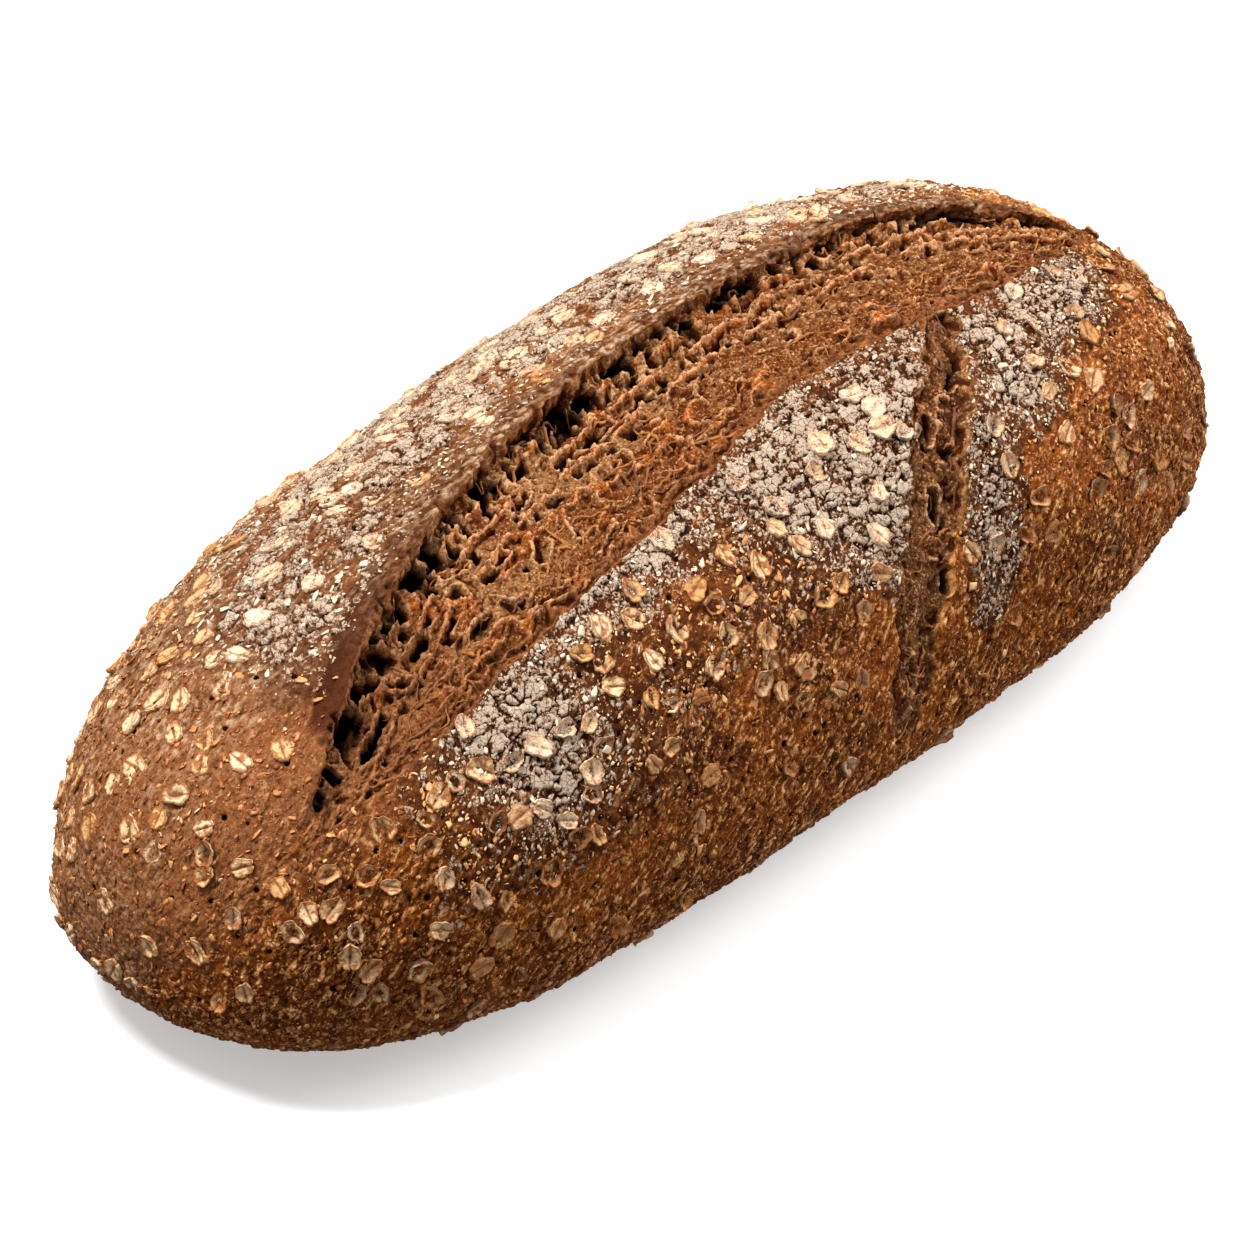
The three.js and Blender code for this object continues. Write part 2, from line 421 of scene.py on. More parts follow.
def placeOpening(grid):
    # the long opening between its two lips, which are slightly ragged, and the smooth skin on the back one
    onLine = np.stack([grid.ringX, 0 * grid.ringX, 0 * grid.ringX], 1).astype(np.float32)
    backRag = onRings(grid, 0.55 * softNoise(onLine, 9.0, 21) + 0.4 * softNoise(onLine, 3.1, 22))
    frontRag = onRings(grid, 1.1 * softNoise(onLine, 11.0, 23) + 0.6 * softNoise(onLine, 3.4, 24))
    grid.fullness = ramp(grid.opening, 1.5, 20)
    front = -grid.opening + frontRag * grid.fullness
    back = backRag * grid.fullness
    grid.inMouth = (grid.behind - front) * mmPerDegree  # mm past the front lip
    grid.pastLip = (grid.behind - back) * mmPerDegree  # mm past the back lip
    grid.before = np.maximum(-grid.pastLip, 0)  # mm in front of the back lip
    grid.share = np.clip((grid.behind - front) / np.maximum(back - front, 0.3), 0, 1)
    grid.torn = ramp(grid.inMouth, -0.2, 0.7) * ramp(-grid.pastLip, -0.1, 0.5) * ramp(grid.opening, 0.8, 4)
    wide = mix(*score["skinWide"], ramp(-grid.x, 45, 85))
    worn = ramp(grid.pastLip + 2.5 * softNoise(grid.plain, 12.0, 26), 0.6 * wide, wide)
    grid.skin = ramp(grid.pastLip, -0.5, 0.5) * (1 - worn) * grid.fullness
    grid.lipBare = grid.skin * (1 - ramp(grid.pastLip, 0.5, 0.45 * wide))


def placeSideScore(grid):
    p = grid.plain
    across, grid.sideAlong, grid.sideHalf, grid.sideDepth = sideScorePlace(grid.x, grid.angle * mmPerDegree)
    grid.sideAcross = across
    grid.sideRagged = across + (2.4 * softNoise(p, 7.5, 25) + 1.3 * softNoise(p, 2.6, 44))
    grid.sideTorn = ramp(grid.sideHalf - np.abs(grid.sideRagged), -0.3, 0.8) * (1 - grid.torn)
    grid.sideTorn *= ramp(grid.sideAlong, 0.0, 3.0)
    grid.allTorn = np.maximum(grid.torn, grid.sideTorn)


def roughenCrust(grid):
    print("crust relief")
    p, x, angle = grid.plain, grid.x, grid.angle
    grid.under = 1 - ramp(p[:, 2], 0.0, 1.2)  # 1 on the face it rests on
    grid.lumps = sum(tall * softNoise(p, size, seed) for size, tall, seed in crust["lumps"])
    grid.nearEnd = ramp(-x + 8 * softNoise(p, 15.0, 82), 60, 110) * ramp(angle, -60, -25)
    grit = 0.5 - 0.08 * grid.nearEnd + 0.5 * softNoise(p, 17.0, 46)
    grit += 0.5 * ramp(-angle, 40, 80) + 0.4 * ramp(x, 75, 120)
    grid.relief = crustRelief(p, grid.skin, np.clip(grit, 0.12, 1))


def spreadFlour(grid):
    # flour lies thick in cracked plates inside its patches, and thin in crumbs round them
    print("flour")
    p, x, angle = grid.plain, grid.x, grid.angle
    patch = np.full(len(x), -60.0, np.float32)
    for outline, strength in zip(floured["patches"], floured["strength"]):
        inside = insideOutline(x, angle * mmPerDegree, outline)
        patch = np.maximum(patch, np.where(inside > 0, inside * strength, inside))
    patch = patch + 3.0 * softNoise(p, 10.0, 31) + 1.6 * softNoise(p, 4.0, 32)
    worn = softNoise(p, 16.0, 33)
    grid.streak = softNoise(stretched(p, 0.3), 5.0, 42) + 0.6 * softNoise(stretched(p, 0.45), 12.0, 43)
    grid.tipward = x + 9 * softNoise(p, 19.0, 84)
    farTip = ramp(grid.tipward, 118, 148)
    grid.band = ramp(angle, -10, 8) * (1 - farTip)  # behind the opening

    cover = 0.15 + 0.85 * ramp(patch, -3.5, 3.5) - 0.45 * ramp(worn, 0.1, 0.6) * (1 - ramp(patch, 2, 9))
    cover *= ramp(patch, -9, -1)
    cover *= 1 - grid.band * (0.05 + 0.5 * ramp(grid.streak, -0.2, 0.4))
    front = ramp(-angle, 22, 40) * (1 - ramp(-angle, 78, 104))
    dusting = 0.46 * front * (1 - ramp(x, -80, -20)) * ramp(x, -150, -125) * (1 - ramp(-angle, 62, 85))
    dusting = np.maximum(dusting, 0.36 * front * (1 - ramp(x, 0, 60)) * (1 - ramp(-angle, 50, 72)))
    dusting = np.maximum(dusting, 0.42 * ramp(angle, -30, -5) * (1 - ramp(angle, 60, 95)) * (1 - farTip))
    dusting = np.maximum(dusting, 0.75 * ramp(patch, -11, -2) * (1 - 0.4 * grid.band))
    dusting = dusting * (1 - 0.6 * ramp(-x, 105, 130))

    plateMap = stretched(p + wander(p, 2.4, 1.5, (34, 35, 36)), 0.72)
    _, plateEdge, plateLot = cells(plateMap, floured["plateSize"], 37)
    islands = softNoise(plateMap, 2.8, 47) + 0.45 * softNoise(p, 1.3, 48)
    _, crumbEdge, crumbLot = cells(p + wander(p, 1.2, 0.4, (38, 39, 40)), floured["crumbSize"], 41)
    bare = np.maximum(np.maximum(grid.allTorn, grid.under), grid.lipBare)
    plate = np.minimum(plateEdge - 0.11, 0.6 * (islands + 1.8 * cover - 1.15 - 0.4 * plateLot)) - 3 * bare
    sprinkled = np.maximum(dusting, cover * 0.95) - 0.22 * (1 + worn) - crumbLot * 0.7
    small = np.minimum(crumbEdge - 0.09, sprinkled * 2.0)
    small = np.minimum(small, mix(1.0, plateEdge - 0.13, ramp(cover, 0.3, 0.55))) - 2 * bare
    plateTop = floured["plateHeight"] * ramp(plate, 0, 0.16) * (0.6 + 0.8 * plateLot)
    crumbTop = floured["crumbHeight"] * ramp(small, 0, 0.25) * (1 - ramp(plate, -0.02, 0.06))
    crack = ramp(cover, 0.3, 0.7) * (1 - bare) * (1 - ramp(plate, -0.12, 0.1))
    between = np.maximum(ramp(cover, 0.25, 0.6), 0.75 * ramp(dusting, 0.15, 0.38))
    between *= (1 - bare) * (1 - 0.45 * grid.band) * (0.75 + 0.5 * ramp(softNoise(p, 3.2, 83), -0.3, 0.3))
    level = grid.relief * (1 - 0.85 * ramp(plate, 0, 0.2)) + np.maximum(plateTop, crumbTop)
    grid.patch, grid.dusting, grid.between = patch, dusting, between
    grid.flour = np.minimum(np.maximum(plate, small), 0.14 + 0.1 * plateLot)
    grid.height = grid.lumps + (1 - grid.allTorn) * (level - 0.4 * crack)


def tearOpening(grid):
    # depth of the torn crumb. Close to the back lip, holes run back under it between webs of crumb, and
    # further out torn layers stand up with gaps behind them.
    p, before = grid.plain, grid.before
    onLine = np.stack([grid.x, 0 * grid.x, 0 * grid.x], 1)
    grid.holes = ramp(softNoise(onLine, 8.0, 27) + 0.5 * softNoise(p, 3.4, 28), -0.14, 0.10)
    stations, holePlace, holeDepth = np.array(score["hole"]).T
    stations, webPlace, webDepth = np.array(score["web"]).T
    webPlace, webDepth = (np.interp(before, stations, values) for values in (webPlace, webDepth))
    holePlace, holeDepth = (np.interp(before, stations, values) for values in (holePlace, holeDepth))
    grid.place = mix(webPlace, holePlace, grid.holes)
    lipDepth = mix(webDepth, holeDepth, grid.holes)
    depth = score["depth"] * (0.10 + 0.90 * np.clip(grid.share * 1.5, 0, 1) ** 1.2) * ramp(before, 0, 2.0)
    grid.nearLip = (1 - ramp(before, 7, 12)) * (grid.pastLip <= 0) * ramp(grid.opening, 3, 14)
    grid.mouthDepth = mix(depth, lipDepth, grid.nearLip) * grid.fullness
    grid.mouthDepth *= (1 - 0.42 * ramp(grid.x, -15, 60)) * ramp(grid.inMouth, -0.1, 0.9)
    grid.layerTop = np.zeros(len(p), np.float32)
    grid.gap = np.zeros(len(p), np.float32)
    for k, (away, tall, wide, gapShare) in enumerate(score["layers"]):
        middle = before - (away + 1.5 * softNoise(onLine, 17.0, 60 + k) + 0.5 * softNoise(p, 2.6, 63 + k))
        stands = ramp(softNoise(onLine, 13.0, 66 + k) + 0.2 * softNoise(p, 2.6, 69 + k), -0.42, 0.12)
        stands = stands * (grid.pastLip <= 0) * grid.fullness
        grid.layerTop = np.maximum(grid.layerTop, tall * bell(middle, wide) * stands)
        dip = bell(middle - 2.2, 1.4) * stands * ramp(softNoise(p, 4.4, 72 + k), -0.02, 0.26)
        grid.gap = np.maximum(grid.gap, dip * gapShare)


def tearSideScore(grid):
    # depth of the side score: a steep wall on its left, and a slope of crumb up to the right
    off, half = grid.sideRagged, grid.sideHalf
    bridged = 0.3 + 0.7 * ramp(softNoise(grid.plain, 5.5, 81), -0.25, 0.25)
    slope = ramp(off, -0.3 * half, 0.45 * half) * bridged
    depth = grid.sideDepth * ramp(off, -half, -half + 1.2) * (0.4 + 0.6 * slope) * grid.sideTorn
    grid.sideFloor = depth * (1 - 0.6 * ramp(off, 0.45 * half, half))


def roughenCrumb(grid):
    # sink the torn places and give them their ragged crumb
    print("torn crumb")
    depth = np.where(grid.torn > 0, grid.mouthDepth, grid.sideFloor) * (grid.torn + grid.sideTorn)
    rows = np.flatnonzero(grid.allTorn > 0)
    inMain = grid.torn[rows] > 0
    x, across, half = grid.x[rows], grid.sideAcross[rows], grid.sideHalf[rows]
    fromLeft = ramp(across / np.maximum(half, 0.5), -0.6, 0.5)
    # the side score reads the same crumb as the opening, 300 mm further along and 60 mm across
    tall, toast, pocket, hole = tornRelief(
        np.where(inMain, x, 300 + grid.sideAlong[rows]),
        np.where(inMain, grid.inMouth[rows], 60 + across),
        np.where(inMain, grid.share[rows], mix(0.35, 0.9, fromLeft)),
        np.where(inMain, ramp(x, -35, 45), 0.3),
    )
    mainCalm = ramp(grid.inMouth[rows], 0, 2.0) * ramp(grid.before[rows], 0.2, 1.6)
    mainCalm *= 0.35 + 0.65 * grid.fullness[rows]
    calm = np.where(inMain, mainCalm, 0.95 * ramp(half - np.abs(across), -1.0, 1.2))
    grid.toast = np.zeros(len(grid.x), np.float32)
    grid.pocket = np.zeros(len(grid.x), np.float32)
    grid.toast[rows] = toast
    grid.toast = np.maximum(grid.toast, ramp(grid.layerTop, 0.4, 1.4) * grid.torn)
    grid.pocket[rows] = pocket
    grid.height -= depth
    grid.height[rows] += tall * calm * grid.allTorn[rows]
    grid.height += (grid.layerTop - score["gapDepth"] * grid.gap) * grid.torn
    underLip = grid.holes * grid.nearLip * ramp(grid.before, 0.8, 2.2) * (1 - ramp(grid.before, 4.6, 6.5))
    # how deep each point lies in the opening, its gaps, under the lip and in holes; the crumb's colour darkens
    # with it as painted shade
    grid.deep = 0.6 * depth + 3.6 * grid.gap * grid.torn + 4.0 * underLip * grid.fullness
    grid.deep[rows] += 3.6 * hole * calm


def raiseLips(grid):
    # the edges of both scores stand up a little; the back lip leans forward over the crumb and is nicked
    p, past, full = grid.plain, grid.pastLip, grid.fullness
    edge = np.exp(-np.maximum(-grid.inMouth, 0) / 1.6) * (grid.inMouth < 0.6)
    edge = edge * full * ramp(grid.opening, 2, 8)
    across, half = grid.sideAcross, grid.sideHalf
    sideEdge = np.exp(-np.maximum(-(across + half), 0) / 1.4) * (across < -half + 0.4)
    sideEdge = sideEdge * (np.abs(across) < half + 4) * (grid.sideAlong > 2) * (1 - grid.torn)
    grid.height += 0.25 * edge * (1 - grid.torn) + 0.2 * sideEdge * (1 - grid.sideTorn)
    rise = score["lipRise"] * (1 - 0.45 * ramp(grid.x, 10, 80)) * full
    rise *= 1 - ramp(past / mmPerDegree, 0, score["lipRiseSpan"])
    grid.height += np.where(past > -0.7, rise * ramp(past, -0.7, 0.5), 0)
    nick = ramp(0.7 * softNoise(p, 6.5, 75) + 0.45 * softNoise(p, 2.0, 76), -0.05, 0.5)
    grid.height -= 1.3 * bell(past, 1.5) * full * nick
    lean = np.where(past > 0, 1.6 * np.exp(-np.maximum(past, 0) / 4.5), 0) * ramp(grid.opening, 3, 14)
    grid.shift = (grid.before - grid.place) * grid.nearLip * full - lean * full * (1.2 - 0.8 * nick)
    grid.height *= 1 - grid.under


def displacePoints(grid):
    p, under = grid.plain, grid.under
    placed = p + grid.normal * grid.height[:, None] + grid.around * grid.shift[:, None]
    # a finer roughening worked on the displaced surface itself, so that steep walls of crumb are rough too
    wall = bell(grid.pastLip + 0.7, 1.3) * grid.fullness
    sideWall = bell(np.abs(grid.sideRagged) - grid.sideHalf, 1.2) * ramp(grid.sideDepth, 0.3, 2.0)
    wall = np.maximum(wall, sideWall * (1 - grid.torn))
    steep = surfaceFrames(placed.reshape(*grid.shape, 3))[0].reshape(-1, 3).astype(np.float32)
    ragged = 0.38 * softNoise(placed, 1.4, 79) + 0.2 * softNoise(placed, 0.8, 80)
    ragged = 0.9 * wall * softNoise(placed, 2.6, 78) + np.maximum(grid.allTorn, wall) * ragged
    placed += steep * (ragged * (1 - under))[:, None]
    dents = 0.5 * np.clip(softNoise(p, 9.0, 29), 0, 1) + 0.25 * np.clip(softNoise(p, 2.5, 30), 0, 1)
    placed[:, 2] = np.maximum(placed[:, 2], 0) + under * dents * (p[:, 2] < 0.05)
    grid.placed = placed
    # the same surface without its fine relief, which oats and chips lie on
    window = int(2 / mesh["step"])
    grid.smooth = p + grid.normal * blurGrid(grid.height, grid.shape, window, window)[:, None]


def crustFields(grid):
    # what the crust's material is told of each point
    near, wide = int(1.6 / mesh["step"]), int(5 / mesh["step"])
    # darker towards the bottom of the front, and in the side score's crumb
    low = ramp(-grid.angle, 50, 95) * (1 - ramp(grid.x, 60, 130) * 0.5)
    # flour haze on the back behind the opening, partly painted sheen that makes the crust there lighter and
    # greyer
    hazeAndSheen = grid.band * (0.55 + 0.5 * ramp(grid.streak, 0.3, -0.3)) * (1 - ramp(grid.angle, 85, 120))
    hazeAndSheen = np.clip(hazeAndSheen, 0, 1) * (1 - grid.allTorn) * (1 - grid.under)
    hazeAndSheen *= 1 - 0.55 * ramp(-grid.tipward, 126, 148)
    fibrous = 1 - ramp(grid.inMouth + 1.2 * softNoise(grid.plain, 6.0, 77), 1.5, 4.5)
    grid.skin = np.maximum(grid.skin, 0.9 * fibrous * grid.torn * grid.fullness)
    return {
        "torn": grid.allTorn, "toast": grid.toast, "pocket": grid.pocket, "flour": grid.flour,
        "skin": np.maximum(grid.skin, 0.82 * grid.nearEnd), "hazeAndSheen": hazeAndSheen, "between": grid.between,
        # height over its blur 1.6 mm and 5 mm round, and the depth of holes and gaps: the colour takes painted
        # shade and painted highlight from these
        "cavity": grid.height - blurGrid(grid.height, grid.shape, near, near),
        "hollow": grid.height - blurGrid(grid.height, grid.shape, wide, wide),
        "deep": grid.deep / 8, "under": grid.under, "low": np.maximum(low, grid.sideTorn),
    }


def shapeLoaf():
    grid = plainLoaf()
    for step in (placeOpening, placeSideScore, roughenCrust, spreadFlour, tearOpening, tearSideScore,
                 roughenCrumb, raiseLips, displacePoints):
        step(grid)
    return grid


def moveToBox(grid):
    # to the middle of the CAD loaf's box, with the base on its lowest face
    low, high = (np.array(corner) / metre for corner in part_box("rye_loaf"))
    grid.middle = (grid.plain.min(0) + grid.plain.max(0)) / 2
    move = (low + high) / 2 - grid.middle
    move[2] = low[2]
    grid.placed += move
    grid.smooth += move


def newMesh(name, points, faceCorners, cornersPerFace):
    made = bpy.data.meshes.new(name)
    made.vertices.add(len(points))
    made.vertices.foreach_set("co", np.ascontiguousarray(points, np.float32).ravel())
    made.loops.add(len(faceCorners))
    made.loops.foreach_set("vertex_index", np.ascontiguousarray(faceCorners, np.int32))
    starts = np.concatenate([[0], np.cumsum(cornersPerFace)[:-1]]).astype(np.int32)
    made.polygons.add(len(starts))
    made.polygons.foreach_set("loop_start", starts)
    made.update(calc_edges=True)
    made.shade_smooth()
    piece = bpy.data.objects.new(name, made)
    bpy.context.scene.collection.objects.link(piece)
    return piece


def setValues(piece, values):
    for name, value in values.items():
        kind, part = ("FLOAT_VECTOR", "vector") if value.ndim == 2 else ("FLOAT", "value")
        layer = piece.data.attributes.new(name, kind, "POINT")
        layer.data.foreach_set(part, np.ascontiguousarray(value, np.float32).ravel())


def setMap(piece, uv):
    # the texture map named OFBake, with one place for each face corner
    layer = piece.data.uv_layers.new(name="OFBake")
    layer.data.foreach_set("uv", np.ascontiguousarray(uv, np.float32).ravel())


def tubeFaces(rings, around):
    # quads between rings of points that close round, one ring after another
    i = np.arange(around)
    right = (i + 1) % around
    j = np.arange(rings - 1)[:, None] * around
    return np.stack([j + i, j + around + i, j + around + right, j + right], -1).reshape(-1, 4)


def withEnds(value, columns):
    # the values of the grid, and one more for the point that closes each end
    return np.concatenate([value, [value[:columns].mean(0)], [value[-columns:].mean(0)]])


def makeLoaf(grid):
    print("loaf mesh")
    rings, columns = grid.shape
    i = np.arange(columns)
    right = (i + 1) % columns
    first, last = rings * columns, rings * columns + 1
    quads = tubeFaces(rings, columns)
    startFan = np.stack([np.full(columns, first), i, right], 1)
    endFan = np.stack([np.full(columns, last), (rings - 1) * columns + right, (rings - 1) * columns + i], 1)
    corners = np.concatenate([quads.ravel(), startFan.ravel(), endFan.ravel()])
    counts = np.concatenate([np.full(len(quads), 4), np.full(2 * columns, 3)])
    piece = newMesh("ryeLoafCrust", withEnds(grid.placed, columns) * metre, corners, counts)

    # on the map length runs across and the way round upward, with its seam under the loaf
    v = i / columns
    u = (np.arange(rings) + 1) / (rings + 1)
    quadMap = np.empty((rings - 1, columns, 4, 2))
    quadMap[..., 0, 0] = quadMap[..., 3, 0] = u[:-1, None]
    quadMap[..., 1, 0] = quadMap[..., 2, 0] = u[1:, None]
    quadMap[..., 0, 1] = quadMap[..., 1, 1] = v[None, :]
    quadMap[..., 2, 1] = quadMap[..., 3, 1] = v[None, :] + 1 / columns
    fanMap = np.empty((2, columns, 3, 2))
    fanMap[0, ..., 0], fanMap[1, ..., 0] = (0.0, u[0], u[0]), (1.0, u[-1], u[-1])
    fanMap[..., 0, 1] = v + 0.5 / columns
    fanMap[0, :, 1, 1] = fanMap[1, :, 2, 1] = v
    fanMap[0, :, 2, 1] = fanMap[1, :, 1, 1] = v + 1 / columns
    setMap(piece, np.concatenate([quadMap.ravel(), fanMap.ravel()]))

    for name, value in crustFields(grid).items():
        setValues(piece, {name: withEnds(value.astype(np.float32), columns)})
    setValues(piece, {"rest": withEnds(grid.placed, columns)})
    piece.data.materials.append(bakedRyeCrust())
    return piece


def hexColour(text):
    # an sRGB hex colour as linear red, green, blue, alpha
    parts = [int(text[i:i + 2], 16) / 255 for i in (1, 3, 5)]
    return tuple(c / 12.92 if c <= 0.04045 else ((c + 0.055) / 1.055) ** 2.4 for c in parts) + (1.0,)


def addNode(tree, kind, settings=None, links=None):
    node = tree.nodes.new(kind)
    for name, value in (settings or {}).items():
        if isinstance(name, int) or name in node.inputs:
            node.inputs[name].default_value = value
        else:
            setattr(node, name, value)
    for name, source in (links or {}).items():
        tree.links.new(source, node.inputs[name])
    return node


def newMaterial(name):
    material = bpy.data.materials.new(name)
    material.use_nodes = True
    material.node_tree.nodes.clear()
    return material, material.node_tree


crustFinish = {
    "darkCrust": "#3d1602", "midCrust": "#844210", "redCrust": "#94480d", "goldenCrust": "#cb8745",
    "fleck": "#e6b57e", "recessShade": "#120501", "skinBrown": "#7b4b2b", "skinPale": "#ab8460",
    "crumbFloor": "#8d623a", "crumbBrown": "#663410", "crumbToast": "#a05010", "crumbGlint": "#e2ae7e",
    "creviceShade": "#0a0300", "flour": "#b19d88", "thinFlour": "#865b34", "dustAndSheen": "#bf9c7c",
    "crackAndShadeDark": "#341302", "base": "#77502f", "baseFlour": "#b89e80",
    "crustRoughness": 0.55, "crumbRoughness": 0.8, "flourRoughness": 0.95,
    "bumpHeight": 0.45,  # mm
    "frontSlant": 40.0,  # degrees up from the loaf's length
    "streakSqueeze": 0.42,  # under 1 makes streaks longer than wide
}


def bakedRyeCrust():
    # Wholegrain rye dough, floured, torn in the oven and baked on a stone hearth. It gives a matt, grainy
    # brown crust with a painted highlight on its high spots, chalky pale flour, and lighter open crumb toasted
    # along its edges. Painted shade darkens its low points and deep holes, and the flour haze on its back is
    # partly painted sheen.
    material, tree = newMaterial("bakedRyeCrust")
    look = {name: hexColour(value) for name, value in crustFinish.items() if isinstance(value, str)}
    field = {
        name: addNode(tree, "ShaderNodeAttribute", {"attribute_name": name}).outputs["Fac"]
        for name in ("torn", "toast", "pocket", "flour", "skin", "cavity", "hollow", "deep", "under", "low",
                     "hazeAndSheen", "between")
    }
    rest = addNode(tree, "ShaderNodeAttribute", {"attribute_name": "rest"}).outputs["Vector"]  # mm

    # patterns, in mm across; bran and flour finer than 0.6 mm are drawn as coarse as that
    for name, across, detail in (("bake", 26, 3), ("mottle", 6, 4), ("grain", 1.5, 3), ("fine", 0.6, 3)):
        settings = {"Scale": 1 / across, "Detail": detail, "Roughness": 0.6}
        field[name] = addNode(tree, "ShaderNodeTexNoise", settings, {"Vector": rest}).outputs["Fac"]
    # streaks run up the front of the loaf at a slant, and along it at the back
    runs = []
    for slant in (crustFinish["frontSlant"], 0.0):
        turn = {"rotation_type": "Y_AXIS", "Angle": math.radians(slant)}
        turned = addNode(tree, "ShaderNodeVectorRotate", turn, {"Vector": rest}).outputs[0]
        longer = {"operation": "MULTIPLY", 1: (crustFinish["streakSqueeze"], 1.0, 1.0)}
        drawn = addNode(tree, "ShaderNodeVectorMath", longer, {0: turned}).outputs[0]
        streaks = {"Scale": 1 / 1.4, "Detail": 3, "Roughness": 0.6}
        runs.append(addNode(tree, "ShaderNodeTexNoise", streaks, {"Vector": drawn}).outputs["Fac"])
    runs = {0: field["hazeAndSheen"], 2: runs[0], 3: runs[1]}
    field["streaks"] = addNode(tree, "ShaderNodeMix", {}, runs).outputs[0]
    # cracks in the flour, 1.7 mm apart and bent by up to 1.1 mm
    push = addNode(tree, "ShaderNodeTexNoise", {"Scale": 1 / 1.1, "Detail": 2}, {"Vector": rest})
    pushed = {"operation": "MULTIPLY_ADD", 1: (1.1, 1.1, 1.1)}
    bent = addNode(tree, "ShaderNodeVectorMath", pushed, {0: push.outputs["Color"], 2: rest}).outputs[0]
    cracked = {"feature": "DISTANCE_TO_EDGE", "Scale": 1 / 1.7}
    crackle = addNode(tree, "ShaderNodeTexVoronoi", cracked, {"Vector": bent})
    field["crackle"] = crackle.outputs["Distance"]
    for name, first, factor, second in (("broken", "fine", 0.9, "flour"), ("bumpy", "fine", 0.6, "grain")):
        field[name] = addNode(tree, "ShaderNodeMath", {"operation": "MULTIPLY_ADD", 1: factor},
                              {0: field[first], 2: field[second]}).outputs[0]

    # coats of colour: a first colour, then what goes over it as
    # (colour, field it follows, from, to, most of it, field that limits it)
    coats = {
        "crust": ("midCrust", [
            ("darkCrust", "bake", 0.60, 0.38, 0.8, None),
            ("darkCrust", "low", 0.0, 1.0, 0.18, None),
            ("redCrust", "mottle", 0.5, 0.7, 0.4, None),
            ("goldenCrust", "streaks", 0.52, 0.64, 0.75, None),
            # painted highlight: the crust is lighter on its high points
            ("goldenCrust", "cavity", 0.16, 0.60, 0.5, None),
            ("fleck", "streaks", 0.59, 0.67, 0.7, None),
            ("fleck", "fine", 0.60, 0.69, 0.7, None),
            ("skinBrown", "mottle", 0.0, 0.3, 0.9, "skin"),
            ("skinPale", "fine", 0.54, 0.62, 0.4, "skin"),
            ("darkCrust", "skin", 0.83, 0.95, 0.85, None),
            # flour haze over the back, partly painted sheen
            ("thinFlour", "grain", 0.34, 0.62, 0.7, "hazeAndSheen"),
            ("dustAndSheen", "streaks", 0.48, 0.62, 0.9, "hazeAndSheen"),
            ("darkCrust", "grain", 0.46, 0.30, 0.8, None),
            ("darkCrust", "streaks", 0.44, 0.30, 0.7, None),
            ("crackAndShadeDark", "between", 0.0, 1.0, 0.85, None),
            # painted shade: the crust is near black in its low points and pits
            ("recessShade", "cavity", -0.05, -0.38, 0.95, None),
        ]),
        "crumb": ("crumbBrown", [
            ("crumbFloor", "mottle", 0.45, 0.62, 0.5, None),
            ("crumbFloor", "pocket", 0.10, 0.6, 0.85, None),
            ("crumbToast", "toast", 0.25, 0.8, 0.8, None),
            ("darkCrust", "low", 0.0, 1.0, 0.5, None),
            # painted highlight: the crumb is lighter on its crests
            ("crumbGlint", "cavity", 0.24, 0.8, 0.6, None),
            ("crumbGlint", "fine", 0.57, 0.66, 0.6, None),
            ("skinBrown", "mottle", 0.1, 0.4, 0.8, "skin"),
            ("darkCrust", "grain", 0.48, 0.34, 0.75, None),
            ("darkCrust", "fine", 0.47, 0.34, 0.8, None),
            # painted shade: the crumb is darker in its low points, and near black in its hollows, in the holes
            # under the lip and behind torn layers
            ("darkCrust", "cavity", -0.08, -0.40, 0.95, None),
            ("creviceShade", "hollow", -0.8, -1.9, 0.95, None),
            ("creviceShade", "deep", 0.50, 0.95, 0.97, None),
        ]),
        "base": ("base", [
            ("baseFlour", "mottle", 0.45, 0.65, 1.0, None),
            ("darkCrust", "grain", 0.42, 0.30, 0.6, None),
        ]),
        "flour": ("thinFlour", [
            ("flour", "broken", 0.46, 0.56, 1.0, None),
            ("thinFlour", "mottle", 0.52, 0.72, 0.35, None),
            ("crackAndShadeDark", "crackle", 0.06, 0.015, 1.5, "mottle"),
            # painted shade: the flour is darker in its low points
            ("crackAndShadeDark", "cavity", -0.10, -0.30, 0.9, None),
        ]),
    }
    painted = {}
    for coat, (first, layers) in coats.items():
        colour = None
        for name, source, low, high, most, within in layers:
            span = {"From Min": low, "From Max": high, "To Max": most}
            amount = addNode(tree, "ShaderNodeMapRange", span, {"Value": field[source]}).outputs["Result"]
            if within:
                both = {0: amount, 1: field[within]}
                amount = addNode(tree, "ShaderNodeMath", {"operation": "MULTIPLY"}, both).outputs[0]
            links = {0: amount, 6: colour} if colour else {0: amount}
            shades = {"data_type": "RGBA", 6: look[first], 7: look[name]}
            colour = addNode(tree, "ShaderNodeMix", shades, links).outputs[2]
        painted[coat] = colour
    edge = {"From Min": 0.455, "From Max": 0.49}
    dusted = addNode(tree, "ShaderNodeMapRange", edge, {"Value": field["broken"]}).outputs["Result"]
    colour = painted["crust"]
    for coat, share in (("crumb", field["torn"]), ("base", field["under"]), ("flour", dusted)):
        links = {0: share, 6: colour, 7: painted[coat]}
        colour = addNode(tree, "ShaderNodeMix", {"data_type": "RGBA"}, links).outputs[2]

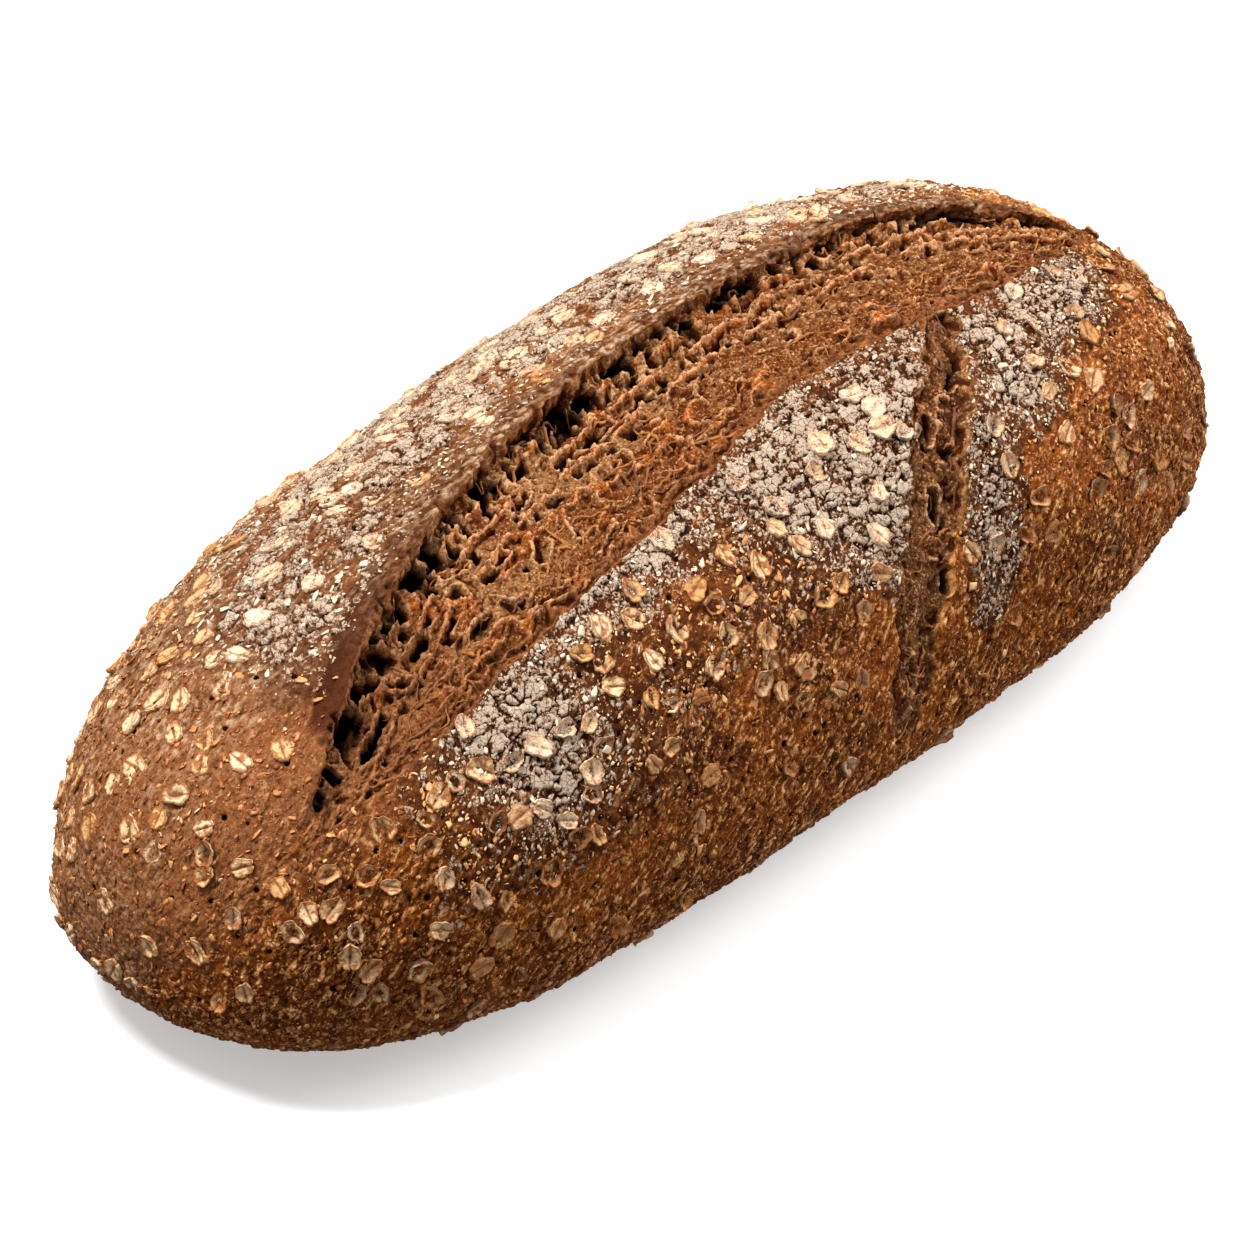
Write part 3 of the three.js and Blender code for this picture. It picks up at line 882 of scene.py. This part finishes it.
    rough = {"To Min": crustFinish["crustRoughness"], "To Max": crustFinish["crumbRoughness"]}
    crustRough = addNode(tree, "ShaderNodeMapRange", rough, {"Value": field["torn"]})
    rough = {"To Max": crustFinish["flourRoughness"]}
    flourRough = addNode(tree, "ShaderNodeMapRange", rough, {"Value": dusted})
    roughness = addNode(tree, "ShaderNodeMath", {"operation": "MAXIMUM"},
                        {0: crustRough.outputs["Result"], 1: flourRough.outputs["Result"]})
    bump = addNode(tree, "ShaderNodeBump", {"Strength": 1.0, "Distance": crustFinish["bumpHeight"] * metre},
                   {"Height": field["bumpy"]})
    surface = addNode(
        tree, "ShaderNodeBsdfPrincipled", {"Specular IOR Level": 0.05, "IOR": 1.45},
        {"Base Color": colour, "Roughness": roughness.outputs[0], "Normal": bump.outputs["Normal"]},
    )
    addNode(tree, "ShaderNodeOutputMaterial", {}, {"Surface": surface.outputs["BSDF"]})
    return material


oats = {
    "length": (4.7, 6.8), "width": 0.79, "thickness": 0.95,  # mm, and width as a share of length
    "scattered": 470, "spacing": 4.7,  # mm between middles
    # flakes with a place of their own: mm along, degrees from the top, turn in degrees, cupped 0 to 1
    "placed": [
        (-112, -44, 20, 0.2), (-58, -36, 60, 0.1), (-50, -38, 130, 0.1), (-66, -38, 150, 0.7),
        (-42, -44, 80, 0.4), (-32, -40, 20, 0.1), (-22, -46, 10, 0.2), (-20, -38, 100, 0.1),
        (-14, -43, 80, 0.1), (-52, -46, 100, 0.0), (-2, -44, 120, 0.2), (24, -44, 60, 0.1),
        (18, -50, 110, 0.0), (-25, -58, 70, 0.6), (-64, -62, 110, 0.0), (-56, -78, 70, 0.0),
        (-74, -54, 20, 0.8), (-108, -71, 40, 0.4), (-138, -74, 20, 0.2), (36, -27, 160, 0.2),
        (20, -31, 80, 0.1), (38, -31, 20, 0.1), (28, -35, 120, 0.2), (-138, 4, 30, 0.0),
        (-134, -6, 80, 0.0), (-149, 10, 140, 0.1), (-128, -13, 60, 0.2), (-142, 26, 20, 0.1),
        (-148, -27, 160, 0.2), (-150, -14, 30, 0.9), (-146, -40, 70, 0.1), (136, -48, 60, 0.3),
        (80, -54, 30, 0.1), (60, -53, 80, 0.3), (92, -44, 120, 0.5), (84, -31, 20, 0.2),
        (104, -40, 70, 0.4),
    ],
}


def gridIndex(grid, x, angle):
    # the point of the loaf's grid nearest a place
    ring = np.abs(grid.ringX[:, None] - np.atleast_1d(x)[None, :]).argmin(0)
    behind = (np.atleast_1d(angle) - grid.ringLip[ring] + 180) % 360 - 180
    column = np.abs(grid.behindLip[:, None] - behind[None, :]).argmin(0)
    return ring * grid.shape[1] + column


def surfaceShare(grid):
    # how much crust each grid point stands for
    ringStep = np.gradient(grid.placed.reshape(*grid.shape, 3)[:, :, 0], axis=0)
    radius = np.hypot(grid.plain[:, 1] - grid.middle[1], grid.plain[:, 2] - form["bellyHeight"])
    columnStep = np.tile(np.gradient(grid.behindLip), grid.shape[0])
    return np.hypot(ringStep.ravel(), 0.2) * radius * columnStep


def standOn(grid, index, lift, turn, tilt, random):
    # position and three axes for something lying on the crust, its long side turned from the loaf's length
    up = grid.normal[index] + random.normal(size=(len(index), 3)) * tilt
    up /= np.linalg.norm(up, axis=1, keepdims=True)
    ahead = np.tile([1.0, 0, 0], (len(index), 1)) + 1e-3
    ahead -= up * (ahead * up).sum(1, keepdims=True)
    ahead /= np.linalg.norm(ahead, axis=1, keepdims=True)
    side = np.cross(up, ahead)
    c, s = np.cos(turn)[:, None], np.sin(turn)[:, None]
    return grid.smooth[index] + up * lift[:, None], ahead * c + side * s, side * c - ahead * s, up


def inPlace(at, axes, parts):
    # points of many small things, each given along its own three axes
    return at[:, None] + sum(part[..., None] * axis[:, None] for part, axis in zip(parts, axes))


def scatterOats(grid, random):
    # the grid points that the flakes lie on, how far each is turned, and how cupped it is
    window = int(2.2 / mesh["step"])
    aroundTorn = blurGrid(grid.allTorn, grid.shape, window, window)
    free = (aroundTorn < 0.01) & (grid.smooth[:, 2] > 4)
    angle, x = grid.angle, grid.x
    wish = 0.35 + 1.4 * ramp(angle, 8, 25) * (1 - ramp(angle, 85, 120))
    wish += 0.9 * ramp(-angle, 25, 35) * (1 - ramp(-angle, 65, 85))
    wish = np.maximum(wish, 1.2 * ramp(np.abs(x + 4), 95, 125))
    wish = wish * (1 - 0.85 * grid.skin) * (1 - 0.75 * ramp(-angle, 78, 98)) * free
    chance = wish * surfaceShare(grid)
    tries = random.choice(len(x), 4000, p=chance / chance.sum())
    fixed = np.array(oats["placed"], float)
    chosen = list(gridIndex(grid, fixed[:, 0], fixed[:, 1]))
    turns = list(np.radians(fixed[:, 2]))
    cups = list(fixed[:, 3])
    for index in tries:
        if len(chosen) >= oats["scattered"] + len(fixed):
            break
        if np.linalg.norm(grid.placed[chosen] - grid.placed[index], axis=1).min() > oats["spacing"]:
            chosen.append(index)
            turns.append(random.uniform(0, math.pi))
            cups.append(random.random())
    return np.array(chosen), np.array(turns), np.array(cups)


def makeOats(grid):
    random = np.random.default_rng(12)
    index, turn, cup = scatterOats(grid, random)
    count = len(index)
    spokes = 28
    # rings of each flake: share of its radius, and 1 on its top, 0 on its edge, -1 underneath
    rings = [(0.001, 1), (0.22, 1), (0.42, 1), (0.6, 1), (0.76, 1), (0.88, 1), (0.96, 1), (1.0, 0),
             (0.93, -1), (0.6, -1), (0.001, -1)]
    r = np.repeat([ring for ring, side in rings], spokes)
    side = np.repeat([side for ring, side in rings], spokes)
    theta = np.tile(np.arange(spokes) / spokes * 2 * math.pi, len(rings))
    length = random.uniform(*oats["length"], count)[:, None] / 2
    width = length * oats["width"] * random.uniform(0.85, 1.12, (count, 1))
    phase = random.uniform(0, 6.28, (count, 4))
    ragged = 1 + 0.07 * np.sin(3 * theta + phase[:, :1]) + 0.06 * np.sin(5 * theta + phase[:, 1:2])
    ragged += 0.05 * np.sin(9 * theta + phase[:, 2:3])
    split = random.uniform(0.0, 0.16, (count, 1))
    ragged -= split * bell(theta - math.pi, 0.16)
    a = r * np.cos(theta) * ragged
    b = r * np.sin(theta) * ragged
    onBand = ramp(grid.angle[index], 0, 15)
    turn = np.where(onBand > 0.5, random.normal(0, 0.45, count), turn)
    cup = (cup * (1 - 0.7 * onBand))[:, None]
    thick = oats["thickness"] * random.uniform(0.75, 1.2, (count, 1))
    crease = random.uniform(0.25, 0.6, (count, 1)) * (1 - 0.6 * cup)
    curl = 0.75 * (0.4 + cup) * (0.65 + 0.45 * np.sin(2 * theta + phase[:, 1:2]))
    curl -= 0.9 * cup * bell(theta - math.pi, 0.45)
    top = thick * (0.85 - 0.2 * r ** 4) + curl * r ** 3 - 1.3 * cup * (1 - r ** 1.6)
    top -= crease * bell(b, 0.13) * (1 - 0.4 * r ** 2)
    top += 0.13 * np.sin(6 * a + phase[:, 3:4]) * np.sin(5 * b + phase[:, 2:3])
    twist = random.normal(0, 0.28, (count, 1))
    bendUp = random.uniform(-0.15, 0.45, (count, 1)) * a ** 2 + twist * a * b
    edge = thick * 0.25 + 0.1 * cup
    z = np.where(side > 0, top, np.where(side < 0, -0.35 + 0.1 * r, edge)) + bendUp
    whiteness = np.clip(ramp(grid.patch[index], -6, 4) + random.normal(0, 0.12, count), 0, 1)
    px, pangle = grid.x[index], grid.angle[index]
    baked = 0.2 + 0.55 * ramp(-pangle, 50, 75) - 0.2 * ramp(-px, 90, 130)
    baked = np.clip(baked + random.normal(0, 0.22, count) - 0.3 * whiteness, 0, 1)
    lift = random.uniform(-0.2, 0.25, count) - 0.45 * baked - 0.3 * onBand
    at, ahead, across, up = standOn(grid, index, lift, turn, 0.14, random)
    points = inPlace(at, (ahead, across, up), (a * length, b * width, z))

    quads = tubeFaces(len(rings), spokes)
    allQuads = (quads[None] + (np.arange(count) * len(r))[:, None, None]).reshape(-1, 4)
    piece = newMesh("rolledOats", points.reshape(-1, 3) * metre, allQuads.ravel(), np.full(len(allQuads), 4))

    # texture map: each flake's two sides lie in a square of their own
    squares = math.ceil(math.sqrt(2 * count))
    uvSide = (side < 0).astype(int)
    square = np.arange(count)[:, None] * 2 + uvSide[None, :]
    uv = np.stack([square % squares + 0.5 + 0.45 * a, square // squares + 0.5 + 0.45 * b], -1) / squares
    setMap(piece, uv.reshape(-1, 2)[allQuads.ravel()])

    values = {"rim": r[None, :] * (side > 0), "crease": np.abs(b), "cupped": cup,
              "tone": random.random((count, 1)), "floury": whiteness[:, None], "baked": baked[:, None]}
    setValues(piece, {name: np.broadcast_to(value, b.shape).ravel() for name, value in values.items()})
    apart = np.arange(count)[:, None, None] * 11.0  # mm, so that every flake has a pattern of its own
    setValues(piece, {"rest": (np.stack([a * length, b * width, z], -1) + apart).reshape(-1, 3)})
    piece.data.materials.append(toastedOatFlake())
    return piece


oatFinish = {
    "cream": "#ebd0a6", "straw": "#d8a463", "toast": "#96501a", "centre": "#401a06", "flour": "#dccbb9",
    "crust": "#7c4318", "roughness": 0.5,
}


def toastedOatFlake():
    # Steamed and rolled oat flake, baked onto the crust. It looks straw-coloured and slightly waxy, with a
    # toasted rim and crease.
    material, tree = newMaterial("toastedOatFlake")
    look = {name: hexColour(value) for name, value in oatFinish.items() if isinstance(value, str)}
    field = {
        name: addNode(tree, "ShaderNodeAttribute", {"attribute_name": name}).outputs["Fac"]
        for name in ("rim", "crease", "cupped", "tone", "floury", "baked")
    }
    rest = addNode(tree, "ShaderNodeAttribute", {"attribute_name": "rest"}).outputs["Vector"]
    patches, streaks = (
        addNode(tree, "ShaderNodeTexNoise", {"Scale": 1 / size, "Detail": detail}, {"Vector": rest}).outputs[0]
        for size, detail in ((1.6, 3), (0.5, 2))  # mm
    )
    shades = {"data_type": "RGBA", 6: look["cream"], 7: look["straw"]}
    colour = addNode(tree, "ShaderNodeMix", shades, {0: field["tone"]}).outputs[2]
    # what goes over it: (field it follows, from, to, most of it, colour, field that limits it)
    steps = [
        (field["baked"], 0.1, 1.0, 0.3, "crust", None),
        (field["rim"], 0.92, 0.65, 0.9, "crust", field["baked"]),
        (field["rim"], 0.74, 0.95, 0.95, "toast", None),
        (field["crease"], 0.18, 0.04, 0.85, "toast", None),
        (patches, 0.50, 0.60, 0.85, "toast", None),
        # painted shade: a cupped flake is darker in its hollow, on its edge and underneath
        (field["rim"], 0.70, 0.3, 1.0, "centre", field["cupped"]),
        (streaks, 0.42, 0.62, 0.8, "flour", field["floury"]),
    ]
    for source, low, high, most, name, also in steps:
        span = {"From Min": low, "From Max": high, "To Max": most}
        factor = addNode(tree, "ShaderNodeMapRange", span, {"Value": source}).outputs["Result"]
        if also is not None:
            both = {0: factor, 1: also}
            factor = addNode(tree, "ShaderNodeMath", {"operation": "MULTIPLY"}, both).outputs[0]
        shades = {"data_type": "RGBA", 7: look[name]}
        colour = addNode(tree, "ShaderNodeMix", shades, {0: factor, 6: colour}).outputs[2]
    bump = addNode(tree, "ShaderNodeBump", {"Strength": 1.0, "Distance": 0.35 * metre}, {"Height": streaks})
    surface = addNode(
        tree, "ShaderNodeBsdfPrincipled", {"Roughness": oatFinish["roughness"], "Specular IOR Level": 0.12},
        {"Base Color": colour, "Normal": bump.outputs["Normal"]})
    addNode(tree, "ShaderNodeOutputMaterial", {}, {"Surface": surface.outputs["BSDF"]})
    return material


chips = {
    "count": 24000, "length": (0.4, 2.0), "flakes": 0.05, "flakeLength": (2.0, 3.8),  # mm
    "colours": ("#7a3a10", "#bd7430", "#dca663", "#d6c2a6"), "roughness": 0.45,
}


def makeChips(grid):
    random = np.random.default_rng(77)
    angle, x = grid.angle, grid.x
    wish = 0.7 + 0.5 * ramp(np.abs(x), 95, 135) + 0.5 * ramp(-angle, 25, 40) + 0.4 * ramp(angle, 12, 30)
    wish = wish * (1 - 0.75 * ramp(grid.patch, -3, 3)) * (1 - grid.allTorn) * (1 - 0.6 * grid.skin)
    wish = wish * (1 - 0.45 * ramp(-angle, 60, 80)) * (grid.smooth[:, 2] > 1.6)
    chance = wish * surfaceShare(grid)
    count = chips["count"]
    index = random.choice(len(x), count, p=chance / chance.sum())
    spokes = 7
    theta = np.arange(spokes) / spokes * 2 * math.pi
    radius = random.uniform(0.45, 1.2, (count, spokes))
    length = random.uniform(0, 1, (count, 1)) ** 1.8
    length = mix(*chips["length"], length)
    flaky = random.random((count, 1)) < chips["flakes"] * (1 + 2 * grid.nearEnd[index][:, None])
    length = np.where(flaky, random.uniform(*chips["flakeLength"], (count, 1)), length) / 2
    width = length * random.uniform(0.3, 0.75, (count, 1))
    rise = random.uniform(0.05, 0.26, (count, 1))
    # a rim, a smaller raised rim, and one point underneath
    a, b = radius * np.cos(theta), radius * np.sin(theta)
    a = np.concatenate([a, a * 0.5, np.zeros((count, 1))], 1) * length
    b = np.concatenate([b, b * 0.5, np.zeros((count, 1))], 1) * width
    rim = random.uniform(-0.05, 0.18, (count, spokes))
    z = np.concatenate([rim, np.repeat(rise, spokes, 1) * 0.8, np.full((count, 1), -0.3)], 1)
    turn = random.normal(0, 0.6, count) + 0.7 * ramp(-angle[index], 20, 50)
    at, ahead, across, up = standOn(grid, index, random.uniform(-0.05, 0.2, count), turn, 0.3, random)
    points = inPlace(at, (ahead, across, up), (a, b, z))
    i = np.arange(spokes)
    right = (i + 1) % spokes
    sides = np.stack([i, right, spokes + right, spokes + i], 1)
    bottoms = np.stack([right, i, np.full(spokes, 2 * spokes)], 1)
    each = 2 * spokes + 1
    start = np.arange(count)[:, None] * each
    corners = np.concatenate([sides.ravel(), np.arange(spokes, 2 * spokes), bottoms.ravel()])
    sizes = np.concatenate([np.full(spokes, 4), [spokes], np.full(spokes, 3)])
    corners = (start + corners).ravel()
    piece = newMesh("grainChips", points.reshape(-1, 3) * metre, corners, np.tile(sizes, count))

    squares = math.ceil(math.sqrt(2 * count))
    centreU = (np.arange(count) * 2 % squares + 0.5)[:, None]
    centreV = (np.arange(count) * 2 // squares + 0.5)[:, None]
    uv = np.stack([centreU + 0.4 * a / length, centreV + 0.4 * b / width], -1) / squares
    setMap(piece, uv.reshape(-1, 2)[corners])

    pale = 0.10 + 0.5 * ramp(grid.patch[index], -14, 0) + 0.45 * ramp(grid.dusting[index], 0.2, 0.5)
    tone = np.clip(pale + random.normal(0, 0.22, count), 0, 1)
    apart = np.arange(count)[:, None, None] * 3.0  # mm, so that every chip has a pattern of its own
    setValues(piece, {"tone": np.repeat(tone, each), "rest": (points - at[:, None] + apart).reshape(-1, 3)})
    piece.data.materials.append(toastedBranChip())
    return piece


def toastedBranChip():
    # Cracked grain and bran, milled coarse and toasted on the crust. They look like small golden to cream
    # splinters with a dull shine.
    material, tree = newMaterial("toastedBranChip")
    tone = addNode(tree, "ShaderNodeAttribute", {"attribute_name": "tone"}).outputs["Fac"]
    rest = addNode(tree, "ShaderNodeAttribute", {"attribute_name": "rest"}).outputs["Vector"]
    grain = addNode(tree, "ShaderNodeTexNoise", {"Scale": 1 / 0.6, "Detail": 2}, {"Vector": rest}).outputs[0]
    mixed = addNode(tree, "ShaderNodeMath", {"operation": "MULTIPLY_ADD", 1: 0.5}, {0: grain, 2: tone})
    shades = addNode(tree, "ShaderNodeValToRGB", {}, {"Fac": mixed.outputs[0]})
    stops = shades.color_ramp.elements
    while len(stops) < len(chips["colours"]):
        stops.new(0.5)
    for k, text in enumerate(chips["colours"]):
        stops[k].position = 0.2 + 0.3 * k
        stops[k].color = hexColour(text)
    surface = addNode(
        tree, "ShaderNodeBsdfPrincipled", {"Roughness": chips["roughness"]},
        {"Base Color": shades.outputs["Color"]})
    addNode(tree, "ShaderNodeOutputMaterial", {}, {"Surface": surface.outputs["BSDF"]})
    return material


strands = {
    "count": 300, "length": (3.0, 12.0), "thickness": (0.2, 0.6),  # mm
    "colours": ("#5f3014", "#a0601f"), "roughness": 0.6,
}


def makeStrands(grid):
    # threads of crumb pulled out as the opening tore: most run along it, some cross its pockets
    random = np.random.default_rng(5)
    inMouth = (grid.allTorn > 0.9) & (grid.opening > 5)
    wish = 0.5 + 1.5 * (1 - ramp(grid.share, 0.15, 0.5)) + 0.8 * ramp(grid.share, 0.7, 0.95)
    chance = surfaceShare(grid) * inMouth * wish
    count = strands["count"]
    start = random.choice(len(inMouth), count, p=chance / chance.sum())
    steps, spokes = 16, 5
    t = np.linspace(-1, 1, steps)[None, :]
    length = random.uniform(0, 1, (count, 1)) ** 2
    length = mix(*strands["length"], length)
    heading = random.normal(0, 0.4, (count, 1)) + 0.35
    heading += np.where(random.random((count, 1)) < 0.22, random.uniform(-1.2, 1.2, (count, 1)), 0)
    bend = random.normal(0, 0.5, (count, 1)) * t ** 2 + random.normal(0, 0.16, (count, steps)).cumsum(1)
    alongStep = length / 2 * t
    x = grid.x[start][:, None] + alongStep * np.cos(heading)
    angle = grid.angle[start][:, None] + (alongStep * np.sin(heading) + bend * 2.0) / mmPerDegree
    index = gridIndex(grid, x.ravel(), angle.ravel())
    centre = grid.smooth[index].reshape(count, steps, 3)
    up = grid.normal[index].reshape(count, steps, 3)
    lift = random.uniform(0.0, 0.9, (count, 1)) * (1 - t ** 2) - 0.5 * t ** 4
    lift = lift + random.normal(0, 0.12, (count, steps))
    centre = centre + up * lift[..., None]
    centre[:, 1:-1] = (centre[:, :-2] + 2 * centre[:, 1:-1] + centre[:, 2:]) / 4
    keep = grid.allTorn[index].reshape(count, steps).min(1) > 0.5
    centre, up = centre[keep], up[keep]
    count = len(centre)
    ahead = np.gradient(centre, axis=1)
    ahead /= np.linalg.norm(ahead, axis=2, keepdims=True)
    side = np.cross(up, ahead)
    side /= np.linalg.norm(side, axis=2, keepdims=True)
    over = np.cross(ahead, side)
    thick = random.uniform(*strands["thickness"], (count, 1)) * (1 - t ** 2) ** 0.7
    thick = np.maximum(thick * random.uniform(0.6, 1.5, (count, steps)) / 2, 0.03)
    turn = np.arange(spokes) / spokes * 2 * math.pi
    ring = side[:, :, None] * np.cos(turn)[:, None] * 1.5 + over[:, :, None] * np.sin(turn)[:, None]
    points = centre[:, :, None] + ring * thick[:, :, None, None]
    quads = np.roll(tubeFaces(steps, spokes)[:, ::-1], 1, 1)
    lastRing = (steps - 1) * spokes
    ends = np.concatenate([np.arange(spokes)[::-1], lastRing + np.arange(spokes)])
    each = steps * spokes
    first = np.arange(count)[:, None] * each
    corners = np.concatenate([quads.ravel(), ends])
    sizes = np.concatenate([np.full(len(quads), 4), [spokes, spokes]])
    corners = (first + corners).ravel()
    piece = newMesh("crumbStrands", points.reshape(-1, 3) * metre, corners, np.tile(sizes, count))
    across = math.ceil(math.sqrt(count))
    square = np.arange(count)[:, None, None]
    u = (square % across + 0.05 + 0.9 * (t[..., None] + 1) / 2 + 0 * turn) / across
    v = (square // across + 0.1 + 0.8 * np.abs(np.sin(turn / 2)) + 0 * t[..., None]) / across
    uv = np.stack([u, v], -1).reshape(-1, 2)
    setMap(piece, uv[corners])
    setValues(piece, {"tone": np.repeat(random.random(count), each), "rest": points.reshape(-1, 3)})
    piece.data.materials.append(toastedCrumbThread())
    return piece


def toastedCrumbThread():
    # Crumb drawn into threads as the loaf tore, then toasted. It is dull orange-brown, darker in places.
    material, tree = newMaterial("toastedCrumbThread")
    tone = addNode(tree, "ShaderNodeAttribute", {"attribute_name": "tone"}).outputs["Fac"]
    rest = addNode(tree, "ShaderNodeAttribute", {"attribute_name": "rest"}).outputs["Vector"]
    grain = addNode(tree, "ShaderNodeTexNoise", {"Scale": 1 / 1.2, "Detail": 2}, {"Vector": rest}).outputs[0]
    mixed = addNode(tree, "ShaderNodeMath", {"operation": "MULTIPLY_ADD", 1: 1.2, 2: -0.2}, {0: grain})
    shade = addNode(tree, "ShaderNodeMath", {"operation": "ADD"}, {0: mixed.outputs[0], 1: tone}).outputs[0]
    span = {"From Min": 0.5, "From Max": 1.3}
    amount = addNode(tree, "ShaderNodeMapRange", span, {"Value": shade}).outputs["Result"]
    dark, light = (hexColour(text) for text in strands["colours"])
    colour = addNode(tree, "ShaderNodeMix", {"data_type": "RGBA", 6: dark, 7: light}, {0: amount}).outputs[2]
    surface = addNode(
        tree, "ShaderNodeBsdfPrincipled", {"Roughness": strands["roughness"], "Specular IOR Level": 0.3},
        {"Base Color": colour})
    addNode(tree, "ShaderNodeOutputMaterial", {}, {"Surface": surface.outputs["BSDF"]})
    return material


stage = {
    "sheetColour": "#dfdddd", "sheetTint": "#e1e0df",
    "glowNear": 0.395, "glowFar": 1.0, "glowReach": (0.25, 0.9),  # strength of the sheet's painted glow near and far, and m from the loaf
    "sheetFlat": 5.0, "sheetCurve": 1.0, "sheetTop": 4.0,  # m
    "skyAbove": 0.50, "skyBelow": 0.33,  # strength
    "lampsAway": 1.8,  # m; sizes below are in m too, powers in W, and directions point toward the lamps
    "keySize": 0.7, "keyPower": 48.0, "keyFrom": (-0.38, 0.50, 1.42),
    "fillSize": 1.8, "fillPower": 42.0, "fillFrom": (1.3, -0.65, 0.95),
    "azimuth": -49.4, "elevation": 36.0, "distance": 2.11, "lens": 277.5,
    "aim": (-0.0093, -0.0079, 0.0332),
}


def glowingPaperFloor():
    # Matt white paper with a painted glow: it glows by itself, weaker near the loaf, so it is plain and pale
    # and takes only a soft shadow. Paper fibres are about 0.03 mm wide, too fine to draw, so they are drawn
    # coarser, as mottling 1.1 mm across.
    material, tree = newMaterial("glowingPaperFloor")
    place = addNode(tree, "ShaderNodeTexCoord").outputs["Object"]
    mottling = {"Scale": 900.0, "Detail": 2}
    fibre = addNode(tree, "ShaderNodeTexNoise", mottling, {"Vector": place}).outputs["Fac"]
    sheet = {6: hexColour(stage["sheetColour"]), 7: hexColour(stage["sheetTint"])}
    tone = addNode(tree, "ShaderNodeMix", {"data_type": "RGBA", **sheet}, {0: fibre}).outputs[2]
    away = addNode(tree, "ShaderNodeVectorMath", {"operation": "LENGTH"}, {0: place}).outputs["Value"]
    near, far = stage["glowReach"]
    reach = {"From Min": near, "From Max": far, "To Min": stage["glowNear"], "To Max": stage["glowFar"]}
    glow = addNode(tree, "ShaderNodeMapRange", reach, {"Value": away}).outputs["Result"]
    matt = {"Roughness": 0.9, "Specular IOR Level": 0.0, "Emission Color": (1, 1, 1, 1)}
    links = {"Base Color": tone, "Emission Strength": glow}
    surface = addNode(tree, "ShaderNodeBsdfPrincipled", matt, links)
    addNode(tree, "ShaderNodeOutputMaterial", {}, {"Surface": surface.outputs["BSDF"]})
    return material


def makeFloor():
    # a round sheet, flat under the loaf and curved up at its rim all the way round
    turn = np.linspace(0, math.pi / 2, 9)
    rim = stage["sheetFlat"] + stage["sheetCurve"] * np.sin(turn[1:])
    reach = np.concatenate([[0.5, stage["sheetFlat"]], rim])
    rise = np.concatenate([[0, 0], stage["sheetCurve"] * (1 - np.cos(turn[1:]))])
    reach, rise = np.append(reach, reach[-1]), np.append(rise, stage["sheetTop"])
    spokes = 96
    around = np.arange(spokes) / spokes * 2 * math.pi
    across, rise = reach[:, None], rise[:, None] + 0 * around
    points = np.stack([across * np.cos(around), across * np.sin(around), rise], -1)
    quads = tubeFaces(len(reach), spokes)
    corners = np.concatenate([np.arange(spokes), quads.ravel()])
    sizes = np.concatenate([[spokes], np.full(len(quads), 4)])
    piece = newMesh("studioFloor", points.reshape(-1, 3), corners, sizes)
    piece.data.materials.append(glowingPaperFloor())
    # the glow of the sheet is for the eye only: the soft light from below comes from the sky's lower half
    piece.visible_diffuse = False
    piece.visible_glossy = False
    piece.visible_shadow = False


def makeLight(name, size, power, towards):
    lamp = bpy.data.lights.new(name, "AREA")
    lamp.shape = "DISK"
    lamp.size = size
    lamp.energy = power
    piece = bpy.data.objects.new(name, lamp)
    direction = Vector(towards).normalized()
    piece.location = direction * stage["lampsAway"]
    piece.rotation_euler = direction.to_track_quat("Z", "Y").to_euler()
    bpy.context.scene.collection.objects.link(piece)


def makeCamera():
    view = bpy.data.cameras.new("studioCamera")
    view.lens = stage["lens"]
    view.sensor_width = 36.0
    view.clip_end = 20.0
    piece = bpy.data.objects.new("studioCamera", view)
    a, e = math.radians(stage["azimuth"]), math.radians(stage["elevation"])
    back = Vector((math.sin(a) * math.cos(e), -math.cos(a) * math.cos(e), math.sin(e)))
    piece.location = Vector(stage["aim"]) + back * stage["distance"]
    piece.rotation_euler = back.to_track_quat("Z", "Y").to_euler()
    bpy.context.scene.collection.objects.link(piece)
    bpy.context.scene.camera = piece


def makeSky():
    world = bpy.data.worlds.new("studioSky")
    bpy.context.scene.world = world
    world.use_nodes = True
    tree = world.node_tree
    tree.nodes.clear()
    facing = addNode(tree, "ShaderNodeTexCoord").outputs["Generated"]
    height = addNode(tree, "ShaderNodeSeparateXYZ", {}, {0: facing}).outputs["Z"]
    levels = {"From Min": -0.1, "From Max": 0.1, "To Min": stage["skyBelow"], "To Max": stage["skyAbove"]}
    strength = addNode(tree, "ShaderNodeMapRange", levels, {"Value": height}).outputs["Result"]
    glow = addNode(tree, "ShaderNodeBackground", {"Color": (1, 1, 1, 1)}, {"Strength": strength})
    addNode(tree, "ShaderNodeOutputWorld", {}, {"Surface": glow.outputs["Background"]})
    bpy.context.scene.view_settings.view_transform = "Standard"


grid = shapeLoaf()
moveToBox(grid)
loaf = makeLoaf(grid)
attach(loaf, "root")
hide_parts("rye_loaf")

print("oats, grain chips and crumb strands")
for piece in (makeOats(grid), makeChips(grid), makeStrands(grid)):
    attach(piece, "root")

print("studio")
makeFloor()
makeLight("keyLight", stage["keySize"], stage["keyPower"], stage["keyFrom"])
makeLight("fillLight", stage["fillSize"], stage["fillPower"], stage["fillFrom"])
makeCamera()
makeSky()
